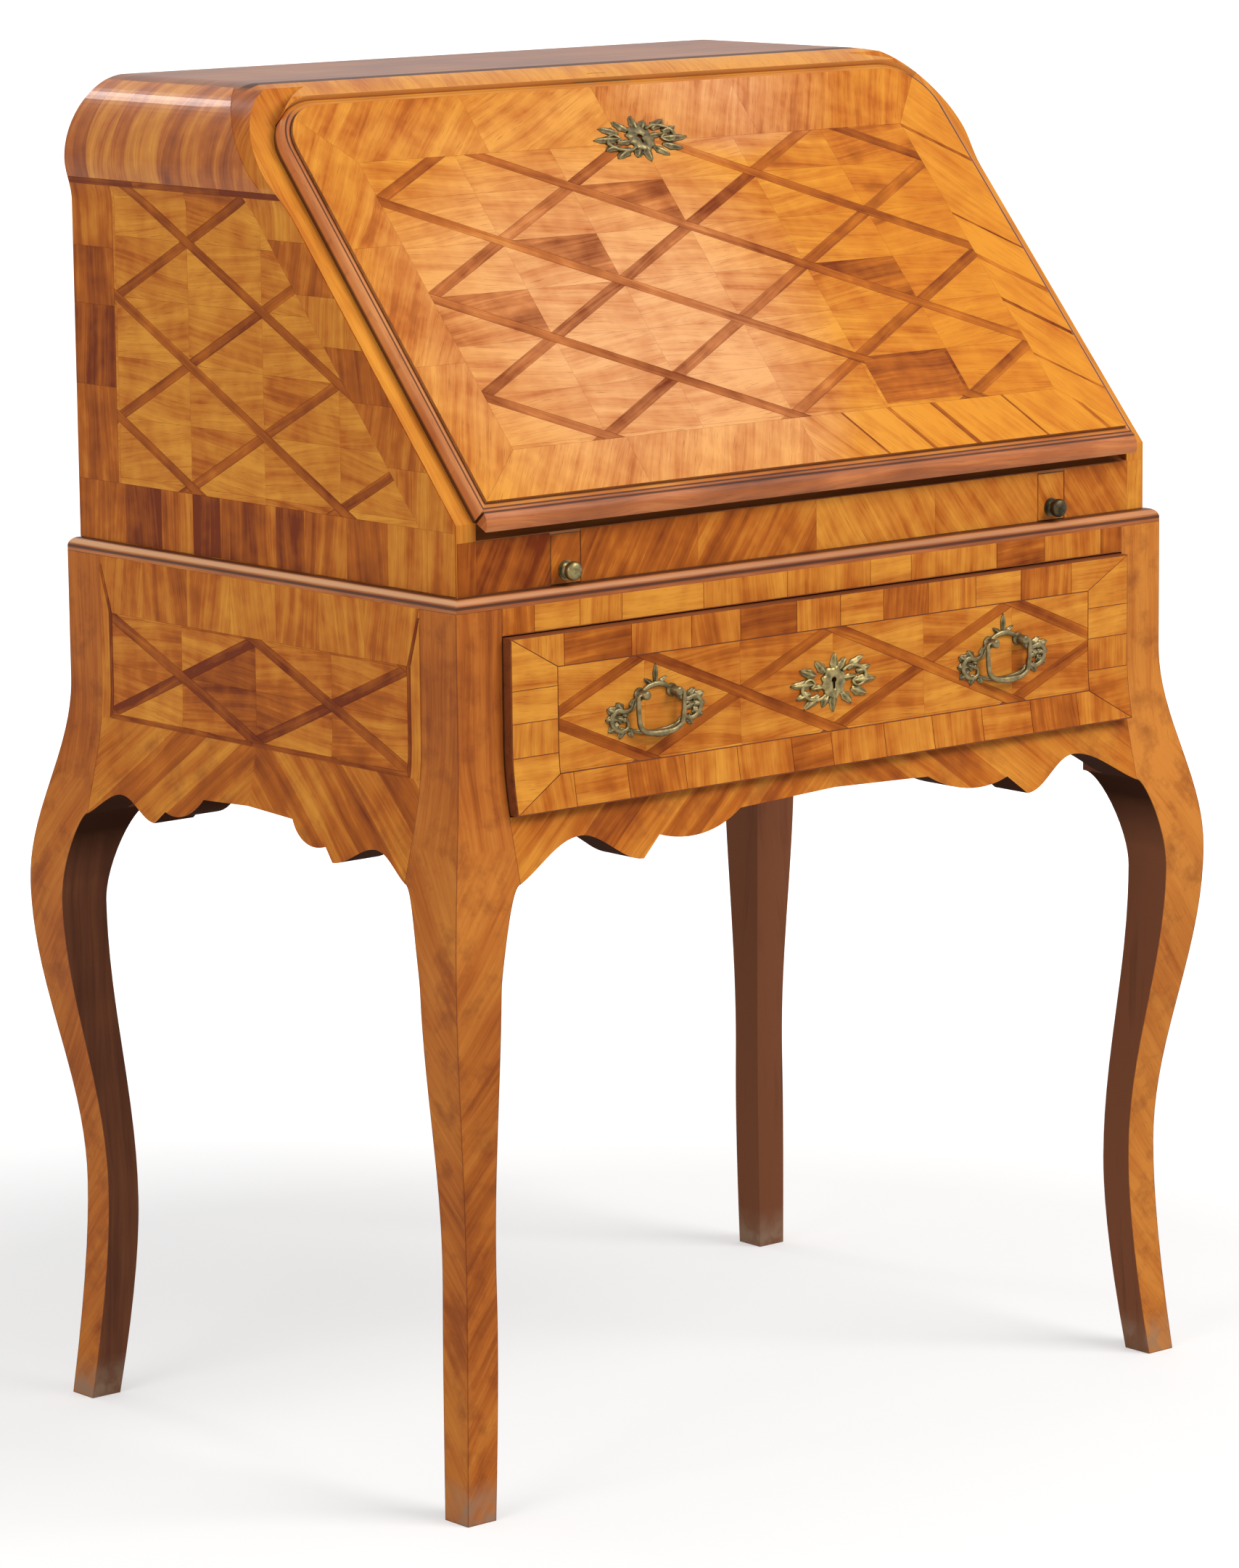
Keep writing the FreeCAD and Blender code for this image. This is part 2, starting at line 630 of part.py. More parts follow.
def keyhole(height, low, high):
    # A round hole with a slot below it, cut along +Z
    hole = Part.makeCylinder(KEYHOLE_RADIUS, high - low, V(0, height, low))
    slot = block(-KEYHOLE_SLOT / 2, KEYHOLE_SLOT / 2, height - KEYHOLE_DROP, height, low, high)
    return hole.fuse(slot)


def rod_x(radius, x0, x1, y, z):
    return Part.makeCylinder(radius, x1 - x0, V(x0, y, z), V(1, 0, 0))


def knuckle_spans(middle):
    # Three knuckles along one hinge, the middle one on the flap
    third = HINGE_LENGTH / 3
    low = middle - HINGE_LENGTH / 2
    return [(low + third * step, low + third * (step + 1)) for step in range(3)]


def fixed_leaf_space(middle):
    half = HINGE_LENGTH / 2 + HINGE_GAP
    plate = block(middle - half, middle + half, HINGE_Y, HINGE_Y + HINGE_LEAF_WIDTH + HINGE_GAP,
                  HINGE_Z - HINGE_LEAF, HINGE_Z)
    return plate.fuse(rod_x(KNUCKLE_RADIUS + HINGE_GAP, middle - half, middle + half, HINGE_Y, HINGE_Z))


def flap_leaf_space(middle):
    half = HINGE_LENGTH / 2 + HINGE_GAP
    plate = block(middle - half, middle + half, 0, HINGE_LEAF_WIDTH + HINGE_GAP, 0, HINGE_LEAF)
    return plate.fuse(rod_x(KNUCKLE_RADIUS + HINGE_GAP, middle - half, middle + half, 0, 0))


def hinge_clearance(middle):
    # Room in the nosing for the knuckles and for the fixed leaf when the flap is down
    half = HINGE_LENGTH / 2 + HINGE_GAP
    return rod_x(2 * KNUCKLE_RADIUS, middle - half, middle + half, 0, 0)


def hinge_leaf(middle, own, other, plate):
    # One brass leaf with its knuckles, bored for the pin and clear of the other knuckles
    leaf = plate
    for low, high in own:
        leaf = leaf.fuse(rod_x(KNUCKLE_RADIUS, low + HINGE_GAP, high - HINGE_GAP, 0, 0))
    for low, high in other:
        leaf = leaf.cut(rod_x(KNUCKLE_RADIUS + HINGE_GAP, low - HINGE_GAP, high + HINGE_GAP, 0, 0))
    half = HINGE_LENGTH / 2 + OVERRUN
    return leaf.cut(rod_x(PIN_RADIUS + PIN_GAP, middle - half, middle + half, 0, 0))


def hinge_fixed_leaves():
    leaves = []
    for side in (-1, 1):
        middle = side * HINGE_PLACE
        left, centre, right = knuckle_spans(middle)
        plate = block(left[0], right[1], 0, HINGE_LEAF_WIDTH, -HINGE_LEAF, 0)
        leaf = hinge_leaf(middle, [left, right], [centre], plate)
        leaf.translate(V(0, HINGE_Y, HINGE_Z))
        leaves.append(leaf)
    return Part.makeCompound(leaves)


def hinge_flap_leaves():
    leaves = []
    for side in (-1, 1):
        middle = side * HINGE_PLACE
        left, centre, right = knuckle_spans(middle)
        plate = block(left[0], right[1], 0, HINGE_LEAF_WIDTH, 0, HINGE_LEAF)
        leaves.append(on_slope(hinge_leaf(middle, [centre], [left, right], plate)))
    return Part.makeCompound(leaves)


def hinge_pins():
    half = HINGE_LENGTH / 2 - HINGE_GAP
    return Part.makeCompound([rod_x(PIN_RADIUS, side * HINGE_PLACE - half, side * HINGE_PLACE + half,
                                    HINGE_Y, HINGE_Z) for side in (-1, 1)])


def loper(side):
    middle = side * LOPER_PLACE
    half = LOPER_WIDTH / 2
    return block(middle - half, middle + half, HINGE_Y, HINGE_Y + LOPER_LENGTH, LOPER_LOW, LOPER_TOP)


def turned_knob(radius, length, place):
    # Turned along -Y: rosette, waisted neck and rounded head
    neck = radius * KNOB_NECK_RADIUS / KNOB_RADIUS
    base = V(radius, 0, 0)
    rim = V(radius, -ROSETTE_THICK, 0)
    throat = V(neck, -length / 2 + ROSETTE_THICK, 0)
    shoulder = V(radius, (throat.y - length) / 2, 0)
    tip = V(0, -length, 0)
    edges = [line(V(0, 0, 0), base), line(base, rim)]
    edges.append(curve(rim, V(neck, rim.y, 0), throat))
    edges.append(curve(throat, V(radius, throat.y, 0), shoulder))
    edges.append(curve(shoulder, V(radius, tip.y, 0), tip))
    edges.append(line(tip, V(0, 0, 0)))
    knob = face_of(edges).revolve(V(0, 0, 0), V(0, 1, 0), 360)
    knob.translate(place)
    return knob


def loper_knob(side):
    height = LOPER_LOW + (LOPER_TOP - LOPER_LOW) * KNOB_HEIGHT_SHARE
    place = V(side * LOPER_PLACE, HINGE_Y, height)
    return turned_knob(KNOB_RADIUS, KNOB_LENGTH, place)


def drawer_lock_block(grow):
    half = LOCK_WIDTH / 2 + grow
    return block(-half, half, DRAWER_INNER - LOCK_DEPTH - grow, DRAWER_INNER,
                 DRAWER_FRONT_TOP - LOCK_HEIGHT - grow, DRAWER_FRONT_TOP)


def drawer_bolt_space(low, high):
    half = BOLT_WIDTH / 2 + LOCK_GAP
    back = DRAWER_INNER - BOLT_INSET
    return block(-half, half, back - BOLT_THICK - LOCK_GAP, back + LOCK_GAP, low, high)


def drawer_keyhole(low, high):
    # Cut through from the front of the drawer
    hole = keyhole(DRAWER_KEYHOLE, low, high)
    hole.rotate(V(0, 0, 0), V(1, 0, 0), 90)
    return hole


def drawer_front():
    board = front_board(PANEL_THICK, DRAWER_PROUD, DRAWER_X)
    board = board.common(block(-HALF_W, HALF_W, -BASE_DEPTH, 0, DRAWER_LOW, DRAWER_FRONT_TOP))
    board = board.cut(drawer_lock_block(LOCK_GAP))
    board = board.cut(drawer_bolt_space(DRAWER_FRONT_TOP - LOCK_HEIGHT, DRAWER_TOP))
    return board.cut(drawer_keyhole(-DRAWER_INNER, HALF_D + DRAWER_PROUD + OVERRUN))


def drawer_sides():
    low = DRAWER_LOW + DRAWER_LIFT
    rear = HALF_D - BACK_THICK - DRAWER_REAR_SPACE
    board = block(DRAWER_X - DRAWER_BOARD, DRAWER_X, DRAWER_INNER, rear, low, low + DRAWER_SIDE_HEIGHT)
    return Part.makeCompound([mirrored_x(board), board])


def drawer_back():
    low = DRAWER_LOW + DRAWER_LIFT
    rear = HALF_D - BACK_THICK - DRAWER_REAR_SPACE
    half = DRAWER_X - DRAWER_BOARD
    return block(-half, half, rear - DRAWER_BOARD, rear, low + DRAWER_BOTTOM, low + DRAWER_SIDE_HEIGHT)


def drawer_bottom():
    low = DRAWER_LOW + DRAWER_LIFT
    rear = HALF_D - BACK_THICK - DRAWER_REAR_SPACE
    half = DRAWER_X - DRAWER_BOARD
    return block(-half, half, DRAWER_INNER, rear, low, low + DRAWER_BOTTOM)


def drawer_lock():
    case = drawer_lock_block(0)
    low = DRAWER_FRONT_TOP - BOLT_LENGTH - LOCK_GAP
    return case.cut(drawer_bolt_space(low, DRAWER_TOP))


def drawer_bolt():
    half = BOLT_WIDTH / 2
    back = DRAWER_INNER - BOLT_INSET
    return block(-half, half, back - BOLT_THICK, back, DRAWER_FRONT_TOP - BOLT_LENGTH, DRAWER_FRONT_TOP)


def leafy_plate(width, height, lobes, depth_share):
    # A rococo mount: an oval whose edge swells into leaf lobes
    points = []
    steps = 6 * lobes
    for step in range(steps):
        angle = 2 * math.pi * step / steps
        leaf = 1 - depth_share * (1 - math.cos(lobes * angle)) / 2
        points.append(V(math.cos(angle) * leaf * width / 2, math.sin(angle) * leaf * height / 2, 0))
    spline = Part.BSplineCurve()
    spline.interpolate(points, PeriodicFlag=True)
    return Part.Face(Part.Wire(spline.toShape())).extrude(V(0, 0, MOUNT_THICK))


def escutcheon(height):
    # Laid flat with its keyhole over the one in the wood
    plate = leafy_plate(ESCUTCHEON_WIDTH, ESCUTCHEON_HEIGHT, ESCUTCHEON_LOBES, ESCUTCHEON_DEPTH_SHARE)
    plate.translate(V(0, height - KEYHOLE_DROP / 2, 0))
    return plate.cut(keyhole(height, -OVERRUN, MOUNT_THICK + OVERRUN))


def flap_escutcheon():
    plate = escutcheon(FLAP_KEYHOLE)
    plate.translate(V(0, 0, FLAP_THICK))
    return on_slope(plate)


def drawer_face():
    return -HALF_D - DRAWER_PROUD


def on_drawer(shape):
    # Stand a plate that was laid flat against the drawer front
    placed = shape.copy()
    placed.rotate(V(0, 0, 0), V(1, 0, 0), 90)
    placed.translate(V(0, drawer_face(), 0))
    return placed


def drawer_escutcheon():
    # Its lower leaf is dished to the swell of the drawer front
    plate = on_drawer(escutcheon(DRAWER_KEYHOLE))
    return plate.cut(front_board(PANEL_THICK, DRAWER_PROUD, DRAWER_X))


def handle_plates():
    plates = []
    for side in (-1, 1):
        plate = leafy_plate(HANDLE_WIDTH, HANDLE_PLATE_HEIGHT, HANDLE_LOBES, HANDLE_DEPTH_SHARE)
        for place in (-POST_SPREAD, POST_SPREAD):
            plate = plate.fuse(Part.makeCylinder(POST_RADIUS, POST_LENGTH + MOUNT_THICK, V(place, 0, 0)))
        bore = POST_SPREAD + POST_RADIUS + OVERRUN
        axis = MOUNT_THICK + POST_AXIS
        plate = plate.cut(rod_x(BAIL_PIN_RADIUS + PIN_GAP, -bore, bore, 0, axis))
        plate.translate(V(side * HANDLE_PLACE, HANDLE_HEIGHT, 0))
        plates.append(on_drawer(plate))
    return Part.makeCompound(plates)


def bail(side):
    # A swinging U: pins in the posts, upright arms, rounded corners and a level grip
    arm = POST_SPREAD + POST_RADIUS + BAIL_GAP + BAIL_RADIUS
    axis = drawer_face() - MOUNT_THICK - POST_AXIS
    low = -BAIL_DROP
    bend = BAIL_CORNER * (1 - math.sqrt(2) / 2)
    path = [line(V(arm, 0, 0), V(arm, 0, low + BAIL_CORNER))]
    path.append(arc(V(arm, 0, low + BAIL_CORNER), V(arm - bend, 0, low + bend),
                    V(arm - BAIL_CORNER, 0, low)))
    path.append(line(V(arm - BAIL_CORNER, 0, low), V(-arm + BAIL_CORNER, 0, low)))
    path.append(arc(V(-arm + BAIL_CORNER, 0, low), V(-arm + bend, 0, low + bend),
                    V(-arm, 0, low + BAIL_CORNER)))
    path.append(line(V(-arm, 0, low + BAIL_CORNER), V(-arm, 0, 0)))
    ring = Part.Wire(Part.makeCircle(BAIL_RADIUS, V(arm, 0, 0), V(0, 0, 1)))
    swing = Part.Wire(path).makePipeShell([ring], True, False)
    for end in (-1, 1):
        swing = swing.fuse(Part.makeSphere(BAIL_RADIUS, V(end * arm, 0, 0)))
        inner = POST_SPREAD - POST_RADIUS
        low_x = min(end * inner, end * arm)
        high_x = max(end * inner, end * arm)
        swing = swing.fuse(rod_x(BAIL_PIN_RADIUS, low_x, high_x, 0, 0))
    swing.translate(V(side * HANDLE_PLACE, axis, HANDLE_HEIGHT))
    return swing


def small_drawer_place(side, tier):
    # Low corner of one drawer bay in the cabinet
    low = HINGE_Z + tier * (SMALL_DRAWER_HEIGHT + CABINET_BOARD)
    inner = CENTRE_HALF + CABINET_BOARD
    left = inner if side > 0 else -INNER_X
    return left, left + INNER_X - inner, low


def small_drawer_front(side, tier):
    left, right, low = small_drawer_place(side, tier)
    return block(left + SMALL_GAP, right - SMALL_GAP, CABINET_FRONT, CABINET_FRONT + SMALL_FRONT_THICK,
                 low + SLIDE_GAP, low + SMALL_DRAWER_HEIGHT - SMALL_GAP)


def small_drawer_tray(side, tier):
    # Two sides, a back and a bottom behind the front
    left, right, low = small_drawer_place(side, tier)
    left = left + SMALL_GAP
    right = right - SMALL_GAP
    front = CABINET_FRONT + SMALL_FRONT_THICK
    rear = INNER_BACK - SMALL_REAR_SPACE
    low = low + SLIDE_GAP
    top = low + SMALL_DRAWER_HEIGHT - SMALL_SIDE_DROP
    boards = [block(left, left + SMALL_BOARD, front, rear, low, top)]
    boards.append(block(right - SMALL_BOARD, right, front, rear, low, top))
    boards.append(block(left + SMALL_BOARD, right - SMALL_BOARD, rear - SMALL_BOARD, rear,
                        low + SMALL_BOTTOM, top))
    boards.append(block(left + SMALL_BOARD, right - SMALL_BOARD, front, rear, low, low + SMALL_BOTTOM))
    return Part.makeCompound(boards)


def small_drawer_knob(side, tier):
    left, right, low = small_drawer_place(side, tier)
    place = V((left + right) / 2, CABINET_FRONT, low + SMALL_DRAWER_HEIGHT / 2)
    return turned_knob(SMALL_KNOB_RADIUS, SMALL_KNOB_LENGTH, place)


def all_nodes():
    back_right = leg()
    right_panel = side_panel()
    right_case = case_side()
    nodes = dict(
        leg_back_right=back_right,
        leg_back_left=mirrored_x(back_right),
        leg_front_right=mirrored_y(back_right),
        leg_front_left=mirrored_x(mirrored_y(back_right)),
        side_panel_right=right_panel,
        side_panel_left=mirrored_x(right_panel),
        case_side_right=right_case,
        case_side_left=mirrored_x(right_case),
    )
    single = [front_apron, drawer_rail, base_back, waist_moulding, dust_board, drawer_runners,
              drawer_guides, drawer_kickers, case_top, case_back, frieze_rail, writing_bed,
              loper_guides, cabinet_shelf, cabinet_uprights, drawer_dividers, pigeonhole_dividers,
              hinge_fixed_leaves, hinge_pins, flap_panel, flap_lip, flap_lining, flap_escutcheon,
              flap_lock, flap_bolt, hinge_flap_leaves, drawer_front, drawer_sides, drawer_back,
              drawer_bottom, drawer_escutcheon, drawer_lock, drawer_bolt, handle_plates]
    for make in single:
        nodes[make.__name__] = make()
    for side, hand in ((-1, "left"), (1, "right")):
        nodes["loper_" + hand] = loper(side)
        nodes["loper_knob_" + hand] = loper_knob(side)
        nodes["bail_" + hand] = bail(side)
        for tier, level in enumerate(("lower", "upper")):
            name = "small_drawer_" + level + "_" + hand
            nodes[name + "_front"] = small_drawer_front(side, tier)
            nodes[name + "_tray"] = small_drawer_tray(side, tier)
            nodes[name + "_knob"] = small_drawer_knob(side, tier)
    return nodes


os.makedirs("parts", exist_ok=True)
for node_name, node_shape in all_nodes().items():
    node_shape.exportStep("parts/" + node_name + ".step")
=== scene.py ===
import bpy
import math
import random
from collections import namedtuple
from mathutils import Matrix, Vector


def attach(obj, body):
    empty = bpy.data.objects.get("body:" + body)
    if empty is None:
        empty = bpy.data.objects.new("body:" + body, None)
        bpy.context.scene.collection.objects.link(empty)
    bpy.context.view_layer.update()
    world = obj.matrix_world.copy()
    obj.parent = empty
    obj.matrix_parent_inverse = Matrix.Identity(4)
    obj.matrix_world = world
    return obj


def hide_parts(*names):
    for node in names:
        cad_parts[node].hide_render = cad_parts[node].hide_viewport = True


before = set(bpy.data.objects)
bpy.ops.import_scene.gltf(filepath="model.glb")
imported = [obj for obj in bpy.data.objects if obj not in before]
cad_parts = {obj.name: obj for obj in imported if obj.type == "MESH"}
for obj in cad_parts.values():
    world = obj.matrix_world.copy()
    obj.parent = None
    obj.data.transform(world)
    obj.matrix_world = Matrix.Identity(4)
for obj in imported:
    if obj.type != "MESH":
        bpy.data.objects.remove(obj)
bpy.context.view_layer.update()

# Cabriole legs
# Four legs sawn from square oak stock, veneered on their two outer faces with tulipwood laid
# slantwise, so that the stripes meet in a chevron on the arris. The inner faces are bare and dark.

Grain = namedtuple("Grain", "colour figure depth")


def srgb(r, g, b):
    # A colour as it looks on a screen, in the linear light that a shader takes
    shares = [c / 255 for c in (r, g, b)]
    return tuple(s / 12.92 if s < 0.04 else ((s + 0.055) / 1.055) ** 2.4 for s in shares) + (1.0,)


class Nodes:
    # The nodes of one finish; each kind is named without the word that all of them begin with
    def __init__(self, owner):
        owner.use_nodes = True
        self.tree = owner.node_tree
        self.tree.nodes.clear()

    def node(self, kind, inputs=None, **settings):
        made = self.tree.nodes.new("ShaderNode" + kind)
        for key, value in settings.items():
            setattr(made, key, value)
        for key, value in (inputs or {}).items():
            if isinstance(value, bpy.types.NodeSocket):
                self.tree.links.new(value, made.inputs[key])
            else:
                made.inputs[key].default_value = value
        return made

    def maths(self, operation, *values):
        return self.node("Math", dict(enumerate(values)), operation=operation).outputs[0]

    def plus(self, a, b):
        return self.maths("ADD", a, b)

    def minus(self, a, b):
        return self.maths("SUBTRACT", a, b)

    def times(self, a, b):
        return self.maths("MULTIPLY", a, b)

    def larger(self, a, b):
        return self.maths("MAXIMUM", a, b)

    def size(self, a):
        return self.maths("ABSOLUTE", a)

    def ramp(self, value, low, high, out_low=0.0, out_high=1.0):
        ends = {"From Min": low, "From Max": high, "To Min": out_low, "To Max": out_high}
        return self.node("MapRange", {"Value": value, **ends}).outputs[0]

    def between(self, share, none, whole):
        return self.ramp(share, 0.0, 1.0, none, whole)


class Finish(Nodes):
    # One material; place is the point on the object, in metres
    def __init__(self, name):
        self.material = bpy.data.materials.new(name)
        super().__init__(self.material)
        self.place = self.node("TexCoord").outputs["Object"]

    def separate(self, vector):
        return self.node("SeparateXYZ", {0: vector}).outputs

    def combine(self, x, y, z):
        return self.node("CombineXYZ", {0: x, 1: y, 2: z}).outputs[0]

    def shifted(self, place, shift):
        return self.node("VectorMath", {0: place, 1: shift}, operation="ADD").outputs[0]

    def blend(self, share, a, b):
        return self.node("MixRGB", {"Fac": share, "Color1": a, "Color2": b}).outputs[0]

    def choose(self, share, a, b):
        return self.node("Mix", {0: share, 2: a, 3: b}).outputs[0]

    def normal(self):
        return self.node("NewGeometry").outputs["Normal"]

    def sideways(self, nx, ny):
        # 1 where the surface faces left or right rather than front or back
        return self.maths("GREATER_THAN", self.size(nx), self.size(ny))

    def noise(self, place, along, across, detail=3.0, rough=0.55):
        scaled = self.node("VectorMath", {0: place, 1: (along, across, across)}, operation="MULTIPLY")
        settings = {"Scale": 1.0, "Detail": detail, "Roughness": rough}
        return self.node("TexNoise", {"Vector": scaled.outputs[0], **settings}).outputs["Fac"]

    def cloud(self, scale, detail=3.0, rough=0.55):
        return self.noise(self.place, scale, scale, detail, rough)

    def cloudy(self, scale, low, high, detail=3.0):
        # A value that drifts between low and high over the surface
        return self.ramp(self.cloud(scale, detail), 0.3, 0.7, low, high)

    def grain(self, place, tone, light, middle, dark):
        # Broad stripes, finer figure and short dark pores, all drawn out along the first axis of place
        wander = self.times(self.noise(place, 5.0, 18.0, 2.0), 0.02)
        wavy = self.shifted(place, self.combine(0.0, wander, 0.0))
        stripes = self.noise(wavy, 4.0, 95.0, 3.0, 0.6)
        figure = self.noise(wavy, 16.0, 420.0, 4.0, 0.65)
        pores = self.noise(wavy, 55.0, 1500.0, 2.0, 0.5)
        depth = self.plus(self.times(stripes, 1.15), self.times(figure, 0.55))
        depth = self.plus(depth, self.maths("MULTIPLY_ADD", tone, 1.15, -0.92))
        pale = self.blend(self.ramp(depth, 0.0, 0.55), light, middle)
        colour = self.blend(self.ramp(depth, 0.5, 1.05), pale, dark)
        colour = self.blend(self.ramp(pores, 0.60, 0.72, 0.0, 0.38), colour, dark)
        return Grain(colour, figure, depth)

    def polish(self, colour, height, rough, coat, bump=0.00012, gloss=0.16, coat_rough=0.3):
        relief = self.node("Bump", {"Height": height, "Distance": bump, "Strength": 0.6}).outputs[0]
        shader = self.node("BsdfPrincipled", {
            "Base Color": colour, "Roughness": rough, "Normal": relief,
            "Specular IOR Level": gloss, "Coat Weight": coat, "Coat Roughness": coat_rough})
        self.node("OutputMaterial", {"Surface": shader.outputs[0]})
        return self.material


VENEER_GLOSS = 0.05
LEG_SLANT = math.radians(52)
LEG_WOODS = (srgb(206, 130, 54), srgb(178, 98, 38), srgb(118, 54, 22))
BARE_LIGHT, BARE_DARK = srgb(126, 76, 50), srgb(78, 44, 32)
# STAIN is dirt in the polish; the second colour is painted shade for faces that look down
STAIN, UNDERSIDE_PAINTED_SHADE = srgb(122, 56, 28), srgb(58, 32, 20)
WORN_FOOT, DARK_ARRIS = srgb(150, 122, 100), srgb(92, 42, 22)
STILE_FOOT, STILE_WHOLE = 0.496, 0.50
# Painted light: the legs on the right are made paler, as if more lit
RIGHT_LEGS_PAINTED_LIGHT = 0.32


def slant(wood, across, up, tilt):
    # Places along and over a grain that runs down at a tilt
    cos, sin = math.cos(tilt), math.sin(tilt)
    along = wood.plus(wood.times(across, cos), wood.times(up, -sin))
    over = wood.plus(wood.times(across, sin), wood.times(up, cos))
    return along, over


def stained(wood, colour, strength):
    # Dark spots where dirt has gone into the polish
    spots = wood.ramp(wood.cloud(42.0, 4.0, 0.6), 0.5, 0.7, 0.0, strength)
    return wood.blend(spots, colour, STAIN)


def underside(wood, nz):
    # 1 on edges that face down, which are left unpolished and painted dark as shade
    return wood.ramp(nz, -0.15, -0.4)


def leg_grain(wood, x, y, z, on_side):
    # Slanting veneer on the curved leg, upright veneer on the stile above it
    across = wood.choose(on_side, wood.size(x), wood.size(y))
    down, over = slant(wood, across, z, LEG_SLANT)
    slanting = wood.combine(wood.times(down, -1.0), over, wood.times(on_side, 0.7))
    upright = wood.combine(z, across, wood.times(on_side, 0.3))
    # Painted light: the legs on the right are made paler, as if more lit
    painted_light = wood.times(wood.maths("GREATER_THAN", x, 0.0), RIGHT_LEGS_PAINTED_LIGHT)
    tone = wood.minus(wood.cloudy(9.0, 0.28, 0.68, 2.0), painted_light)
    low, high = wood.grain(slanting, tone, *LEG_WOODS), wood.grain(upright, tone, *LEG_WOODS)
    colour = wood.blend(wood.ramp(z, STILE_FOOT, STILE_WHOLE), low.colour, high.colour)
    return Grain(stained(wood, colour, 0.5), low.figure, high.depth)


def inward(wood, part, place):
    # How far the surface faces the middle of the object
    return wood.times(wood.times(part, wood.maths("SIGN", place)), -1.0)


def leg_material():
    wood = Finish("slanting_tulipwood")
    x, y, z = wood.separate(wood.place)
    facing = wood.normal()
    nx, ny, nz = wood.separate(facing)
    veneered = leg_grain(wood, x, y, z, wood.sideways(nx, ny))
    inner = wood.ramp(wood.larger(inward(wood, nx, x), inward(wood, ny, y)), 0.1, 0.3)
    bare = wood.blend(wood.ramp(veneered.depth, 0.2, 0.9), BARE_LIGHT, BARE_DARK)
    colour = wood.blend(inner, veneered.colour, bare)
    worn = wood.times(wood.ramp(z, 0.034, 0.008), wood.ramp(wood.cloud(60.0), 0.4, 0.6, 0.3, 0.85))
    colour = wood.blend(worn, colour, WORN_FOOT)
    eased = wood.node("Bevel", {"Radius": 0.0016}, samples=6).outputs[0]
    turned = wood.node("VectorMath", {0: eased, 1: facing}, operation="DOT_PRODUCT").outputs["Value"]
    arris = wood.times(wood.ramp(turned, 0.995, 0.93, 0.0, 0.7), wood.minus(1.0, inner))
    colour = wood.blend(arris, colour, DARK_ARRIS)
    below = underside(wood, nz)
    # Painted shade: faces that look down, under the knees, are darkened
    colour = wood.blend(wood.times(below, wood.ramp(z, 0.3, 0.4)), colour, UNDERSIDE_PAINTED_SHADE)
    rough = wood.larger(wood.between(inner, 0.36, 0.6), wood.between(below, 0.36, 0.95))
    coat = wood.between(below, 0.03, 0.0)
    return wood.polish(colour, veneered.figure, rough, coat, gloss=VENEER_GLOSS)


def dress(finish, *names):
    # Give CAD nodes their finish
    for name in names:
        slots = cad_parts[name].data.materials
        slots.clear()
        slots.append(finish)


dress(leg_material(), "leg_front_left", "leg_front_right", "leg_back_left", "leg_back_right")

# Side panels and front apron
# Oak boards curved to the swell of the base and scalloped below. Each side is laid with a trellis of
# tulipwood lozenges between dark kingwood strips, in a cross-banded border; the skirts are plain veneer.

HANDS = (("left", -1), ("right", 1))
dice = random.Random(17)
GLUE_LINE, CLOSE_JOINT, OPEN_JOINT = 0.18, 0.07, 0.3
SHORTEST_SIDE, SMALLEST_PIECE = 0.05, 4
TRELLIS_REACH = 9
VENEER_THICK = 0.0006


def clip(shape, a, b, c):
    # The part of a convex outline where a x + b y is at most c
    kept = []
    for start, end in zip(shape, shape[1:] + shape[:1]):
        over_start = a * start[0] + b * start[1] - c
        over_end = a * end[0] + b * end[1] - c
        if over_start <= 0:
            kept.append(start)
        if (over_start < 0 < over_end) or (over_end < 0 < over_start):
            share = over_start / (over_start - over_end)
            kept.append((start[0] + share * (end[0] - start[0]), start[1] + share * (end[1] - start[1])))
    return kept


def strip_of(shape, a, b, low, high):
    # The part of a convex outline where a x + b y lies between low and high
    return clip(clip(shape, a, b, high), -a, -b, -low)


def area(shape):
    return sum(p[0] * q[1] - q[0] * p[1] for p, q in zip(shape, shape[1:] + shape[:1])) / 2


def clip_to(shape, outline, gap=0.0):
    # What of a shape lies inside an outline by a gap; both are convex, the outline runs anticlockwise
    for p, q in zip(outline, outline[1:] + outline[:1]):
        length = math.dist(p, q)
        if length > 0:
            a, b = (q[1] - p[1]) / length, (p[0] - q[0]) / length
            shape = clip(shape, a, b, a * p[0] + b * p[1] - gap)
    return shape


def without_specks(shape):
    # Leave out sides too short to cut along
    return [p for p, q in zip(shape, shape[1:] + shape[:1]) if math.dist(p, q) > SHORTEST_SIDE]


def rectangle(x0, x1, y0, y1):
    return [(x0, y0), (x1, y0), (x1, y1), (x0, y1)]


def around(shape, hole):
    # What is left of a shape beside an upright hole
    x0, x1, y0, y1 = hole
    middle = strip_of(shape, 1, 0, x0, x1)
    parts = (clip(shape, 1, 0, x0), clip(shape, -1, 0, -x1), clip(middle, 0, 1, y0), clip(middle, 0, -1, -y1))
    return [part for part in parts if len(part) > 2]


def mirrored(shape):
    return [(-x, y) for x, y in shape[::-1]]


def upright_cuts(*places):
    return [(1, 0, x) for x in places]


def level_cuts(*places):
    return [(0, 1, y) for y in places]


def metres(*lengths):
    return tuple(length / 1000 for length in lengths)


def new_piece(name, verts, faces, finish):
    mesh = bpy.data.meshes.new(name)
    mesh.from_pydata(verts, [], faces)
    mesh.materials.append(finish)
    made = bpy.data.objects.new(name, mesh)
    bpy.context.scene.collection.objects.link(made)
    return made


def slices(shape, step):
    heights = [y for x, y in shape]
    first, last = math.floor(min(heights) / step), math.ceil(max(heights) / step)
    return [strip_of(shape, 0, 1, k * step, k * step + step) for k in range(first, last + 1)]


